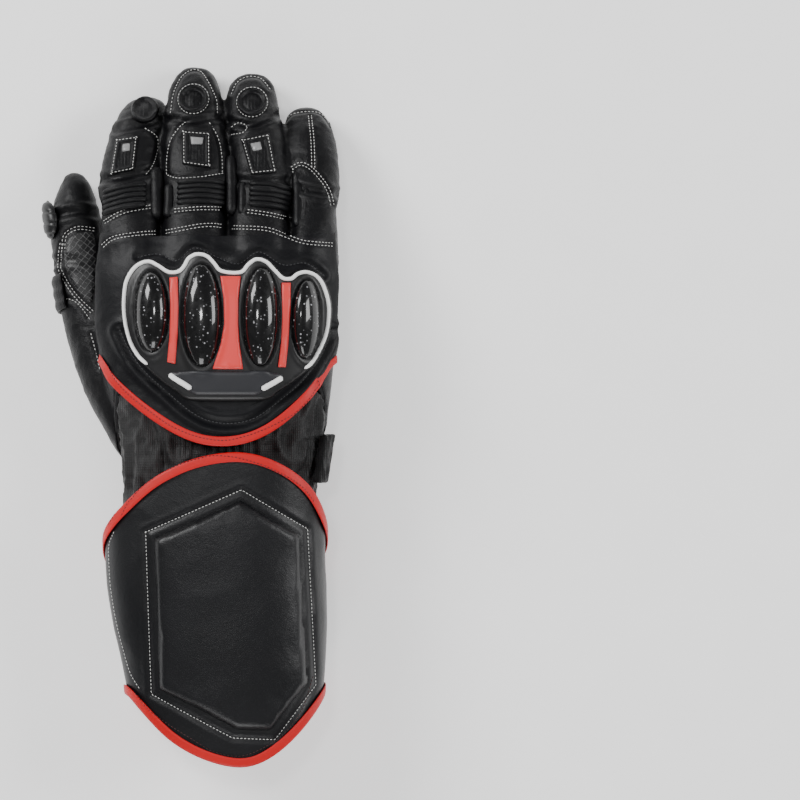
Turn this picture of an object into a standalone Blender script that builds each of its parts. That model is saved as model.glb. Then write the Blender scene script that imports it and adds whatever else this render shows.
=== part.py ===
# Motorcycle racing glove for the right hand, lying palm down on its cuff, thumb and fingertips.
# Metres, +Z up from the floor. +Y runs from the cuff to the fingertips and the thumb lies at -X.

import math

import bpy
import numpy as np

MM = 0.001

# Leather, seams and clearances
WALL = 2.0 * MM
CLEARANCE = 0.35 * MM
SEAT = 0.7 * MM
OVERLAY = 1.5 * MM
FINGER_GAP = 0.6 * MM

# Hand, measured from the cuff's lower tip at y = 0
PALM_WIDTH = 112.0 * MM
HAND_HEIGHT = 50.0 * MM
GAITER_START = 70.0 * MM
KNUCKLE_LINE = 231.0 * MM
HAND_SQUARE = 2.5

# The hand leather is sewn to the wrist gaiter along a slanted ring
SEAM_PALM = 117.0 * MM
SEAM_BACK = 195.0 * MM
GATHERS = 18
GATHER_DEPTH = 1.0 * MM

# Fingers
MIDDLE_FINGER = 93.0 * MM
TIP_LEVEL = 7.5 * MM
CURL = 1.6
ROOT_HEIGHT = 14.0 * MM
TIP_HEIGHT = 11.0 * MM
ROOT_BLEND = 0.33
TIP_ROUND = 0.80

# Back panel with its bound hem
BACK_REACH = KNUCKLE_LINE + 14.0 * MM
HEM_MIDDLE = KNUCKLE_LINE - 83.0 * MM
HEM_RISE = 38.0 * MM
HEM_LIFT = 1.9 * MM
HEM_FADE = 14.0 * MM
FRONT_LIFT = 2.2 * MM
FRONT_FADE = 9.0 * MM

# Red binding, a folded strip that holds a panel's edge
BINDING_THICKNESS = 4.4 * MM
BINDING_WALL = 0.7 * MM
BINDING_OVER = 1.5 * MM
BINDING_LIP = 3.0 * MM

# Gauntlet cuff, wrapped from the wing under the palm round to the flap over it
CUFF_LENGTH = 144.0 * MM
CUFF_THICKNESS = 1.8 * MM
CUFF_EASE = 5.5 * MM
CUFF_LIFT = 1.2 * MM
CUFF_PRESS = 5.0 * MM
WING_ANGLE = -75.0
WRAP = 402.0
WING_ROUND = 12.0
FLAP_ROUND = 24.0

# Knuckle protector
GUARD_WIDTH = 98.0 * MM
GUARD_LENGTH = 66.0 * MM
GUARD_MIDDLE = 4.0 * MM
GUARD_START = KNUCKLE_LINE - 62.5 * MM
GUARD_BASE = 3.4 * MM
GUARD_SEAT = 0.5 * MM
DOME_RISE = 6.5 * MM
INLAY_RISE = 1.6 * MM
LINE_WIDTH = 1.8 * MM
LINE_RISE = 1.0 * MM
LINE_INSET = 1.7 * MM
PLATE_RISE = 1.0 * MM

# Thumb
THUMB_WIDTH = 29.0 * MM
THUMB_HEIGHT = 27.0 * MM
THUMB_SEAT = 0.8 * MM
THUMB_GUARD_RISE = 3.6 * MM
THUMB_RIB_RISE = 1.8 * MM
PATCH_THICKNESS = 1.2 * MM

SIDES = 2 * GATHERS
FINGER_SIDES = 16

# Hand sections. along: share of the way from GAITER_START to KNUCKLE_LINE; middle and width: shares of
# PALM_WIDTH; level and height (half): shares of HAND_HEIGHT
HAND_SECTIONS = [
    dict(along=0.00, middle=-0.013, width=0.795, level=0.700, height=0.440),
    dict(along=0.25, middle=-0.013, width=0.804, level=0.710, height=0.450),
    dict(along=0.37, middle=0.000, width=0.808, level=0.690, height=0.470),
    dict(along=0.50, middle=0.016, width=0.835, level=0.660, height=0.500),
    dict(along=0.63, middle=-0.004, width=0.920, level=0.670, height=0.500),
    dict(along=0.78, middle=-0.014, width=0.982, level=0.710, height=0.476),
    dict(along=0.90, middle=-0.010, width=0.996, level=0.740, height=0.430),
    dict(along=1.00, middle=-0.009, width=1.000, level=0.750, height=0.376),
    dict(along=1.12, middle=-0.009, width=0.992, level=0.720, height=0.352),
]

# Fingers. start, end, lean (how far the tip lies from the root's middle) and tip (half width): shares of
# PALM_WIDTH; length: share of MIDDLE_FINGER; droop (below the middle finger): share of HAND_HEIGHT
FINGERS = [
    dict(name="index_finger", start=0.000, end=0.265, length=0.849, lean=0.0375, tip=0.109, droop=0.032),
    dict(name="middle_finger", start=0.265, end=0.545, length=1.000, lean=-0.009, tip=0.112, droop=0.0),
    dict(name="ring_finger", start=0.545, end=0.800, length=0.968, lean=-0.036, tip=0.1125, droop=0.012),
    dict(name="little_finger", start=0.800, end=1.000, length=0.796, lean=-0.036, tip=0.100, droop=0.080),
]
FINGER_STATIONS = [0.0, 0.10, 0.21, 0.34, 0.50, 0.65, 0.78, 0.87, 0.94, 0.98]
HAND_STATIONS = [0.0, 0.14, 0.30, 0.46, 0.62, 0.80, 1.0]
FINGER_INNER_STATIONS = [0.0, 0.20, 0.42, 0.66, 0.84, 0.95]

# Thumb centre line. side: share of PALM_WIDTH from the hand's middle; along: share of KNUCKLE_LINE;
# level: share of HAND_HEIGHT; width and height: shares of THUMB_WIDTH and THUMB_HEIGHT
THUMB_PATH = [
    dict(side=-0.22, along=0.610, level=0.56, width=1.15, height=1.10),
    dict(side=-0.40, along=0.745, level=0.48, width=1.20, height=1.10),
    dict(side=-0.52, along=0.880, level=0.38, width=1.00, height=1.00),
    dict(side=-0.58, along=1.025, level=0.30, width=0.92, height=0.94),
    dict(side=-0.612, along=1.190, level=0.21, width=0.86, height=0.86),
]

# Thumb armour. at, half, start and end: shares of the thumb's length; turns: degrees round it
THUMB_GUARD = dict(at=0.80, half=0.095, turn=168.0, half_turn=40.0)
THUMB_RIBS = dict(start=0.565, end=0.679, turns=(128.0, 208.0))
THUMB_PATCH = dict(start=0.60, end=0.81, turns=(80.0, 122.0))

# Cuff outline by wrap angle from the wing's end. top and bottom: shares of CUFF_LENGTH
CUFF_EDGES = [
    dict(turn=0, top=0.583, bottom=0.188),
    dict(turn=60, top=0.583, bottom=0.190),
    dict(turn=85, top=0.615, bottom=0.200),
    dict(turn=105, top=0.690, bottom=0.232),
    dict(turn=125, top=0.752, bottom=0.240),
    dict(turn=150, top=0.838, bottom=0.158),
    dict(turn=165, top=0.905, bottom=0.094),
    dict(turn=195, top=0.995, bottom=0.012),
    dict(turn=205, top=0.993, bottom=0.006),
    dict(turn=225, top=0.950, bottom=0.060),
    dict(turn=250, top=0.870, bottom=0.152),
    dict(turn=270, top=0.785, bottom=0.215),
    dict(turn=285, top=0.740, bottom=0.236),
    dict(turn=315, top=0.655, bottom=0.236),
    dict(turn=345, top=0.622, bottom=0.226),
    dict(turn=375, top=0.634, bottom=0.214),
    dict(turn=402, top=0.606, bottom=0.202),
]

# Cuff sections. along: share of CUFF_LENGTH; shift: share of PALM_WIDTH; width: share of the wrist's
# half width with its ease; dip: how far the back slopes down, share of HAND_HEIGHT
CUFF_SECTIONS = [
    dict(along=0.00, shift=0.045, width=0.80, dip=0.07),
    dict(along=0.25, shift=0.030, width=0.90, dip=0.03),
    dict(along=0.37, shift=0.022, width=0.95, dip=0.01),
    dict(along=0.52, shift=0.000, width=1.00, dip=0.00),
    dict(along=0.67, shift=-0.008, width=1.00, dip=0.00),
    dict(along=1.00, shift=-0.008, width=1.00, dip=0.00),
]

# Padded hexagon on the back of the cuff. side: share of PALM_WIDTH; start and end: shares of CUFF_LENGTH
CUFF_PAD = [
    dict(side=-0.263, start=0.250, end=0.729),
    dict(side=0.076, start=0.122, end=0.848),
    dict(side=0.094, start=0.121, end=0.854),
    dict(side=0.214, start=0.115, end=0.800),
    dict(side=0.357, start=0.264, end=0.736),
]
CUFF_PAD_RISE = 3.6 * MM
CUFF_PAD_EDGE = 1.2 * MM
CUFF_PAD_BEVEL = 3.0 * MM

# Knuckle protector outline, clockwise from its lower left corner. side: share of GUARD_WIDTH from the
# middle; along: share of GUARD_LENGTH
GUARD_TOP = [
    dict(side=-0.500, along=0.550),
    dict(side=-0.485, along=0.720),
    dict(side=-0.440, along=0.900),
    dict(side=-0.375, along=0.972),
    dict(side=-0.310, along=0.940),
    dict(side=-0.255, along=0.900),
    dict(side=-0.205, along=0.950),
    dict(side=-0.142, along=1.010),
    dict(side=-0.085, along=0.975),
    dict(side=-0.030, along=0.910),
    dict(side=0.075, along=0.900),
    dict(side=0.110, along=0.950),
    dict(side=0.155, along=0.980),
    dict(side=0.220, along=0.940),
    dict(side=0.290, along=0.850),
    dict(side=0.335, along=0.885),
    dict(side=0.385, along=0.900),
    dict(side=0.435, along=0.840),
    dict(side=0.480, along=0.700),
    dict(side=0.500, along=0.550),
]
GUARD_BOTTOM = [
    dict(side=-0.500, along=0.490),
    dict(side=-0.470, along=0.380),
    dict(side=-0.395, along=0.225),
    dict(side=-0.280, along=0.085),
    dict(side=-0.155, along=0.000),
    dict(side=0.185, along=0.000),
    dict(side=0.290, along=0.085),
    dict(side=0.400, along=0.210),
    dict(side=0.470, along=0.370),
    dict(side=0.500, along=0.490),
]
GUARD_COLUMNS = [-0.500, -0.478, -0.44, -0.375, -0.31, -0.255, -0.20, -0.142, -0.085, -0.03,
                 0.03, 0.09, 0.155, 0.22, 0.29, 0.335, 0.385, 0.44, 0.48, 0.500]

# Carbon domes. side and half: shares of GUARD_WIDTH; start and end: shares of GUARD_LENGTH
DOMES = [
    dict(name="knuckle_dome_index", side=-0.351, half=0.080, start=0.320, end=0.885),
    dict(name="knuckle_dome_middle", side=-0.118, half=0.092, start=0.215, end=0.935),
    dict(name="knuckle_dome_ring", side=0.161, half=0.087, start=0.220, end=0.905),
    dict(name="knuckle_dome_little", side=0.368, half=0.067, start=0.280, end=0.815),
]

# Red inlays between the domes: left and right edges at three levels, shares of GUARD_WIDTH
INLAYS = [
    dict(name="knuckle_inlay_left", start=0.235, end=0.830,
         rows=[(-0.264, -0.226), (-0.255, -0.222), (-0.260, -0.228)]),
    dict(name="knuckle_inlay_middle", start=0.170, end=0.845,
         rows=[(-0.060, 0.068), (-0.010, 0.048), (-0.022, 0.062)]),
    dict(name="knuckle_inlay_right", start=0.210, end=0.760,
         rows=[(0.239, 0.287), (0.262, 0.291), (0.262, 0.294)]),
]

# Grey plate on the protector's lower edge, corners anticlockwise: (share of GUARD_WIDTH, of GUARD_LENGTH)
PLATE = [(-0.140, 0.050), (-0.100, 0.030), (0.110, 0.030), (0.165, 0.050), (0.130, 0.130), (-0.120, 0.130)]

# Round pads over the fingertip joints. finger: row of FINGERS; along: share of its length
TIP_PADS = [
    dict(name="tip_pad_index", finger=0, along=0.842),
    dict(name="tip_pad_middle", finger=1, along=0.823),
    dict(name="tip_pad_ring", finger=2, along=0.828),
]
TIP_PAD_RADIUS = 8.0 * MM
TIP_PAD_RISE = 2.2 * MM

# Rectangular sliders over the middle joints. along: share of the finger's length; side: share of
# SLIDER_WIDTH from the finger's middle; turn: degrees anticlockwise
SLIDERS = [
    dict(name="slider_index", finger=0, along=0.601, side=-0.277, turn=-7.0),
    dict(name="slider_middle", finger=1, along=0.570, side=0.077, turn=0.0),
    dict(name="slider_ring", finger=2, along=0.561, side=0.077, turn=7.0),
]
SLIDER_WIDTH = 13.0 * MM
SLIDER_LENGTH = 19.0 * MM
SLIDER_RISE = 2.0 * MM

# Ribbed stretch inserts over the first joints
RIBS = [
    dict(name="finger_ribs_index", finger=0),
    dict(name="finger_ribs_middle", finger=1),
    dict(name="finger_ribs_ring", finger=2),
]
RIB_START = 26.0 * MM
RIB_PITCH = 3.6 * MM
RIB_RISE = 1.7 * MM

# Rolled tongues between the fingers
GUSSETS = ["finger_gusset_index", "finger_gusset_middle", "finger_gusset_ring"]
GUSSET_START = 17.5 * MM
GUSSET_LENGTH = 28.0 * MM
GUSSET_WIDTH = 7.2 * MM
GUSSET_RISE = 2.4 * MM

# Grip patch across the palm. side: share of PALM_WIDTH from the hand's middle; start and end: shares
# of KNUCKLE_LINE
PALM_GRIP = [
    dict(side=-0.33, start=0.872, end=0.985),
    dict(side=-0.29, start=0.866, end=0.980),
    dict(side=-0.22, start=0.868, end=0.962),
    dict(side=-0.06, start=0.860, end=0.952),
    dict(side=0.10, start=0.850, end=0.944),
    dict(side=0.20, start=0.852, end=0.938),
    dict(side=0.26, start=0.866, end=0.926),
    dict(side=0.29, start=0.888, end=0.908),
]

# Grip patches under the fingers. start and end: shares of the finger's length
FINGER_GRIPS = [
    dict(name="index_grip", finger=0, start=0.34, end=0.80),
    dict(name="middle_grip", finger=1, start=0.36, end=0.80),
]

# Padded heels of the palm, outlines in the same shares as PALM_GRIP
HEEL_PADS = [
    dict(name="heel_pad_outer", middle=(0.235, 0.625),
         outline=[(0.10, 0.655), (0.22, 0.675), (0.33, 0.715), (0.375, 0.700), (0.375, 0.640),
                  (0.345, 0.575), (0.23, 0.557), (0.105, 0.563)]),
    dict(name="heel_pad_inner", middle=(-0.125, 0.650),
         outline=[(-0.015, 0.572), (-0.065, 0.560), (-0.160, 0.605), (-0.255, 0.672), (-0.262, 0.705),
                  (-0.195, 0.735), (-0.090, 0.700), (0.010, 0.655)]),
]
HEEL_PAD_RISE = 2.2 * MM
HEEL_SEAT = 1.1 * MM

STRAP_THICKNESS = 1.6 * MM
STRAP_START = GAITER_START + 18.5 * MM
STRAP_WIDTH = 12.0 * MM
KEEPER_START = STRAP_START + 2.5 * MM
KEEPER_WIDTH = 16.5 * MM
TAB_START = GAITER_START + 60.0 * MM
TAB_WIDTH = 22.0 * MM
TAB_THICKNESS = 3.5 * MM

LEATHER = dict(name="black_leather", colour=(0.012, 0.012, 0.013), roughness=0.42, metallic=0.0)
STRETCH = dict(name="black_stretch_fabric", colour=(0.014, 0.014, 0.015), roughness=0.85, metallic=0.0)
RED = dict(name="red_leather", colour=(0.80, 0.030, 0.025), roughness=0.45, metallic=0.0)
RUBBER = dict(name="matte_black_rubber", colour=(0.022, 0.022, 0.024), roughness=0.55, metallic=0.0)
CARBON = dict(name="gloss_carbon", colour=(0.006, 0.006, 0.007), roughness=0.08, metallic=0.0)
CORAL = dict(name="red_rubber", colour=(0.85, 0.070, 0.060), roughness=0.40, metallic=0.0)
WHITE = dict(name="white_rubber", colour=(0.85, 0.85, 0.84), roughness=0.45, metallic=0.0)
GREY = dict(name="dark_grey_rubber", colour=(0.045, 0.045, 0.050), roughness=0.50, metallic=0.0)
GRIP = dict(name="grip_print_leather", colour=(0.030, 0.030, 0.030), roughness=0.60, metallic=0.0)

# Strap under the cuff's wing, its keeper and the tab on the back. turns: degrees round the wrist
STRAPS = [
    dict(name="wrist_strap", turns=(212, 264), count=8, start=STRAP_START, width=STRAP_WIDTH, under=0.0,
         thickness=STRAP_THICKNESS, finish=STRETCH),
    dict(name="strap_keeper", turns=(214, 228), count=4, start=KEEPER_START, width=KEEPER_WIDTH,
         under=STRAP_THICKNESS + CLEARANCE, thickness=STRAP_THICKNESS, finish=LEATHER),
    dict(name="strap_tab", turns=(-14, 26), count=5, start=TAB_START, width=TAB_WIDTH, under=0.0,
         thickness=TAB_THICKNESS, finish=LEATHER),
]


def start_empty_scene():
    for old in list(bpy.data.objects):
        bpy.data.objects.remove(old, do_unlink=True)


def material(finish):
    found = bpy.data.materials.get(finish["name"])
    if found:
        return found
    made = bpy.data.materials.new(finish["name"])
    made.use_nodes = True
    shader = made.node_tree.nodes["Principled BSDF"]
    shader.inputs["Base Color"].default_value = (*finish["colour"], 1.0)
    shader.inputs["Roughness"].default_value = finish["roughness"]
    shader.inputs["Metallic"].default_value = finish["metallic"]
    return made


def mesh_object(name, points, faces, finish, sharp=35.0):
    mesh = bpy.data.meshes.new(name)
    mesh.from_pydata([tuple(map(float, p)) for p in points], [], faces)
    mesh.validate()
    mesh.materials.append(material(finish))
    mesh.shade_smooth()
    mesh.set_sharp_from_angle(angle=math.radians(sharp))
    made = bpy.data.objects.new(name, mesh)
    bpy.context.scene.collection.objects.link(made)
    made.parent = bpy.data.objects["glove"]
    return made


def smooth(t):
    t = min(1.0, max(0.0, t))
    return t * t * (3.0 - 2.0 * t)


# Reads a column of a table at a place between its rows, on a smooth curve through them
def read(rows, key, column, place):
    keys = [row[key] for row in rows]
    values = [row[column] for row in rows]
    place = min(max(place, keys[0]), keys[-1])
    i = min(max(int(np.searchsorted(keys, place)) - 1, 0), len(keys) - 2)
    span = keys[i + 1] - keys[i]
    t = (place - keys[i]) / span
    before, after = max(i - 1, 0), min(i + 2, len(keys) - 1)
    slope_in = (values[i + 1] - values[before]) / (keys[i + 1] - keys[before]) * span
    slope_out = (values[after] - values[i]) / (keys[after] - keys[i]) * span
    a, b = values[i], values[i + 1]
    return (a * (1 + 2 * t) * (1 - t) ** 2 + slope_in * t * (1 - t) ** 2
            + b * t * t * (3 - 2 * t) + slope_out * t * t * (t - 1))


# A rounded rectangle's point at an angle: 2 is an ellipse, more is squarer
def squared(angle, power):
    c, s = math.cos(angle), math.sin(angle)
    return (math.copysign(abs(c) ** (2 / power), c), math.copysign(abs(s) ** (2 / power), s))


# How high a rounded rectangle stands at a share of its half width
def crown(share, power):
    return max(0.0, 1.0 - min(abs(share), 1.0) ** power) ** (1 / power)


def angles(count):
    return [2 * math.pi * i / count for i in range(count)]


# Closed skin over rings of equal size; each end is a pole, or the last ring meets the first
def loft(name, rings, finish, first_pole=None, last_pole=None, sharp=35.0):
    count = len(rings[0])
    points = [p for ring in rings for p in ring]
    bands = [(r, r + 1) for r in range(len(rings) - 1)]
    if first_pole is None:
        bands.append((len(rings) - 1, 0))
    faces = []
    for a, b in bands:
        for i in range(count):
            j = (i + 1) % count
            faces.append((a * count + i, a * count + j, b * count + j, b * count + i))
    if first_pole is not None:
        points += [first_pole, last_pole]
        low, high = len(points) - 2, len(points) - 1
        last = (len(rings) - 1) * count
        for i in range(count):
            j = (i + 1) % count
            faces.append((low, j, i))
            faces.append((high, last + i, last + j))
    return mesh_object(name, points, faces, finish, sharp)


# Closed sheet between two grids of the same size, the lower one first
def sheet(name, low, high, finish, sharp=35.0):
    rows, columns = len(low), len(low[0])
    points = [p for row in low for p in row] + [p for row in high for p in row]
    shift = rows * columns
    faces = []
    for i in range(rows - 1):
        for j in range(columns - 1):
            a, b = i * columns + j, (i + 1) * columns + j
            faces.append((a, a + 1, b + 1, b))
            faces.append((shift + a, shift + b, shift + b + 1, shift + a + 1))
    edge = [j for j in range(columns - 1)]
    edge += [i * columns + columns - 1 for i in range(rows - 1)]
    edge += [(rows - 1) * columns + j for j in range(columns - 1, 0, -1)]
    edge += [i * columns for i in range(rows - 1, 0, -1)]
    for k, a in enumerate(edge):
        b = edge[(k + 1) % len(edge)]
        faces.append((a, shift + a, shift + b, b))
    return mesh_object(name, points, faces, finish, sharp)


def grid(rows, columns, place):
    return [[place(u, v) for v in columns] for u in rows]


def unit(vector):
    return vector / np.linalg.norm(vector)


# Round or angular pad on a surface. steps: (share of the outline, height over the surface)
def pad(name, place, outline, middle, steps, seat, finish, sharp=35.0):
    def ring(share, height):
        return [place(middle[0] + share * (u - middle[0]), middle[1] + share * (v - middle[1]), height)
                for u, v in outline]
    rings = [ring(0.5, seat), ring(1.0, seat)]
    rings += [ring(share, seat + height) for share, height in steps[:-1]]
    return loft(name, rings, finish, place(*middle, seat), place(*middle, seat + steps[-1][1]), sharp)


# Moves a place on a surface by a short vector that lies in the surface
def slide(place, u, v, height, vector):
    nudge_u, nudge_v = 0.001, 0.001 * MM

    def spot(du, dv):
        return np.array(place(u + du, v + dv, height))
    along_u = (spot(nudge_u, 0.0) - spot(-nudge_u, 0.0)) / (2 * nudge_u)
    along_v = (spot(0.0, nudge_v) - spot(0.0, -nudge_v)) / (2 * nudge_v)
    du, dv = np.linalg.lstsq(np.array((along_u, along_v)).T, vector, rcond=None)[0]
    return place(u + du, v + dv, height)


# Folded strip with a slot that holds a panel's edge. path: surface places; place(u, y, height)
def binding(name, path, place, closed, finish):
    half = BINDING_THICKNESS / 2
    slot = half - BINDING_WALL
    profile = [(BINDING_LIP, half), (-BINDING_OVER, half), (-BINDING_OVER, -half), (BINDING_LIP, -half),
               (BINDING_LIP, -slot), (-CLEARANCE, -slot), (-CLEARANCE, slot), (BINDING_LIP, slot)]
    spots = [np.array(place(u, v, 0.0)) for u, v in path]
    rings = []
    for i, (u, v) in enumerate(path):
        before = spots[i - 1] if closed or i > 0 else spots[i]
        after = spots[(i + 1) % len(path)] if closed or i < len(path) - 1 else spots[i]
        normal = unit(np.array(place(u, v, half)) - np.array(place(u, v, -half)))
        inward = unit(np.cross(normal, unit(after - before)))
        ring = []
        for b, h in profile:
            on_panel = slide(place, u, v, h, inward * b) if b > 0 else None
            ring.append(on_panel or np.array(place(u, v, h)) + inward * b)
        rings.append(ring)
    if closed:
        return loft(name, rings, finish, sharp=50.0)
    return capped(name, rings, finish)


# Skin over rings with a flat face at each end
def capped(name, rings, finish, sharp=50.0):
    count = len(rings[0])
    points = [p for ring in rings for p in ring]
    faces = [tuple(reversed(range(count))), tuple(range(points_start(rings), len(points)))]
    for r in range(len(rings) - 1):
        for i in range(count):
            j = (i + 1) % count
            faces.append((r * count + i, r * count + j, (r + 1) * count + j, (r + 1) * count + i))
    return mesh_object(name, points, faces, finish, sharp)


def points_start(rings):
    return (len(rings) - 1) * len(rings[0])


class Hand:
    # Section at y: middle, half width, level, half height
    def section(self, y):
        along = (y - GAITER_START) / (KNUCKLE_LINE - GAITER_START)
        middle, width, level, height = (read(HAND_SECTIONS, "along", column, along)
                                        for column in ("middle", "width", "level", "height"))
        return middle * PALM_WIDTH, width * PALM_WIDTH / 2, level * HAND_HEIGHT, height * HAND_HEIGHT

    def point(self, y, angle, grow=0.0):
        middle, width, level, height = self.section(y)
        c, s = squared(angle, HAND_SQUARE)
        return (middle + (width + grow) * c, y, level + (height + grow) * s)

    # Place on the back (face 1) or palm (face -1) at a share of the half width
    def skin(self, share, y, grow=0.0, face=1):
        middle, width, level, height = self.section(y)
        rise = (height + grow) * crown(share, HAND_SQUARE)
        return (middle + (width + grow) * share, y, level + face * rise)

    def back(self, x, y, grow=0.0, face=1):
        middle, width, level, height = self.section(y)
        return (x, y, level + face * (height + grow) * crown((x - middle) / (width + grow), HAND_SQUARE))

    def palm(self, x, y, grow=0.0):
        return self.back(x, y, grow, face=-1)


HAND = Hand()


class Finger:
    square = 2.3

    def __init__(self, row):
        self.length = row["length"] * MIDDLE_FINGER
        middle, width, self.root_level, self.root_height = HAND.section(KNUCKLE_LINE)
        left = middle - width
        self.root = left + (row["start"] + row["end"]) / 2 * PALM_WIDTH
        self.root_width = (row["end"] - row["start"]) / 2 * PALM_WIDTH - FINGER_GAP / 2
        self.lean, self.tip = row["lean"] * PALM_WIDTH, row["tip"] * PALM_WIDTH
        self.droop = row["droop"] * HAND_HEIGHT

    # Middle, half width, level and half height at a share t of the length
    def section(self, t):
        width = self.root_width + (self.tip - self.root_width) * t
        fall = self.root_level - self.droop - TIP_LEVEL
        level = self.root_level - self.droop * smooth(t * 2) - fall * t ** CURL
        return self.root + self.lean * t, width, level, ROOT_HEIGHT + (TIP_HEIGHT - ROOT_HEIGHT) * t

    def ring(self, t, wall, cap):
        middle, width, level, height = self.section(t)
        y = KNUCKLE_LINE + t * self.length
        blend = smooth(t / ROOT_BLEND)
        points = []
        for angle in angles(FINGER_SIDES):
            c, s = squared(angle, self.square)
            own = (middle + cap * (width - wall) * c, level + cap * (height - wall) * s)
            c, s = squared(angle, 3.6)
            x = self.root + (self.root_width - wall) * c
            hand_middle, hand_width, _, _ = HAND.section(KNUCKLE_LINE)
            rise = self.root_height * crown((x - hand_middle) / hand_width, HAND_SQUARE) - wall
            root = (x, self.root_level + max(rise, wall) * s)
            x = root[0] + (own[0] - root[0]) * blend
            z = root[1] + (own[1] - root[1]) * blend
            points.append((x, y, max(z, wall)))
        return points

    # Highest place of the finger at x, y
    def back(self, x, y, grow=0.0, face=1):
        t = (y - KNUCKLE_LINE) / self.length
        middle, width, level, height = self.section(t)
        cap = self.cap(t, 1.0)
        z = level + face * (height + grow) * cap * crown((x - middle) / ((width + grow) * cap), self.square)
        blend = smooth(t / ROOT_BLEND)
        root = HAND.back(x, KNUCKLE_LINE, grow, face)[2]
        return (x, y, root + (z - root) * blend)

    def palm(self, x, y, grow=0.0):
        return self.back(x, y, grow, face=-1)

    def cap(self, t, end):
        past = (t / end - TIP_ROUND) / (1 - TIP_ROUND)
        return math.sqrt(max(0.0, 1 - past * past)) if past > 0 else 1.0


# Open thimble: outer skin from the tip to the root, then the inner skin back to its own tip
def build_finger(row):
    finger = Finger(row)
    end = 1 - WALL / finger.length
    outer = [finger.ring(t, 0.0, finger.cap(t, 1.0)) for t in reversed(FINGER_STATIONS)]
    inner = [finger.ring(t * end, WALL, finger.cap(t * end, end)) for t in FINGER_INNER_STATIONS]
    middle, _, level, _ = finger.section(1.0)
    outer_tip = (middle, KNUCKLE_LINE + finger.length, level)
    middle, _, level, _ = finger.section(end)
    inner_tip = (middle, KNUCKLE_LINE + finger.length * end, level)
    loft(row["name"], outer + inner, LEATHER, outer_tip, inner_tip)
    return finger


def seam(angle):
    return SEAM_PALM + (SEAM_BACK - SEAM_PALM) * (1 + math.sin(angle)) / 2


# Slanted ring of the hand at a share of the way from the wrist seam to the finger roots
def hand_ring(share, grow):
    front = KNUCKLE_LINE - CLEARANCE
    return [HAND.point(seam(a) + share * (front - seam(a)), a, grow) for a in angles(SIDES)]


# Hand leather from the slanted wrist seam to the finger roots, open at both ends
def build_hand_shell():
    rings = [hand_ring(share, 0.0) for share in HAND_STATIONS]
    rings += [hand_ring(share, -WALL) for share in reversed(HAND_STATIONS)]
    return loft("hand_shell", rings, LEATHER)


# Stretch gaiter from the hand's seam down into the cuff, gathered lengthwise
def build_gaiter():
    def ring(share, grow, gathers):
        points = []
        for i, a in enumerate(angles(SIDES)):
            top = seam(a) - 2 * CLEARANCE
            fold = GATHER_DEPTH * gathers * (i % 2)
            points.append(HAND.point(GAITER_START + share * (top - GAITER_START), a, grow - fold))
        return points
    rings = [ring(0.0, 0.0, 0.3), ring(0.35, 0.0, 1.0), ring(0.7, 0.0, 1.0), ring(1.0, 0.0, 0.0)]
    rings += [ring(share, -WALL - GATHER_DEPTH, 0.0) for share in (1.0, 0.5, 0.0)]
    return loft("wrist_gaiter", list(reversed(rings)), STRETCH, sharp=60.0)


class Thumb:
    def row(self, t):
        place = t * (len(THUMB_PATH) - 1)
        rows = [dict(row, at=i) for i, row in enumerate(THUMB_PATH)]
        return {key: read(rows, "at", key, place) for key in ("side", "along", "level", "width", "height")}

    def middle(self, t):
        row = self.row(t)
        x = HAND.section(KNUCKLE_LINE)[0] + row["side"] * PALM_WIDTH
        return np.array((x, row["along"] * KNUCKLE_LINE, row["level"] * HAND_HEIGHT))

    # Place on the thumb: share t of its length, angle from its inner side, height over the leather
    def point(self, t, angle, grow=0.0, cap=1.0, floor=0.0):
        row = self.row(t)
        ahead = unit(self.middle(min(t + 0.02, 1.0)) - self.middle(max(t - 0.02, 0.0)))
        side = unit(np.cross(ahead, (0.0, 0.0, 1.0)))
        up = np.cross(side, ahead)
        c, s = squared(angle, 2.2)
        width = row["width"] * THUMB_WIDTH / 2 + grow
        height = row["height"] * THUMB_HEIGHT / 2 + grow
        x, y, z = self.middle(t) + cap * (side * width * c + up * height * s)
        return (x, y, max(z, floor))

    def cap(self, t, end):
        start = 0.86
        past = (t / end - start) / (1 - start)
        return math.sqrt(max(0.0, 1 - past * past)) if past > 0 else 1.0

    def rings(self, stations, grow, end, floor):
        return [[self.point(t * end, a, grow, self.cap(t * end, end), floor) for a in angles(FINGER_SIDES)]
                for t in stations]

    def tip(self, end, floor):
        x, y, z = self.middle(end)
        return (x, y, max(z, floor))


THUMB = Thumb()


def cutter(made):
    made.hide_render = True
    made.display_type = "WIRE"
    return made


def cut(made, tool):
    step = made.modifiers.new("cut", "BOOLEAN")
    step.operation = "DIFFERENCE"
    step.solver = "EXACT"
    step.object = tool


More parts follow.
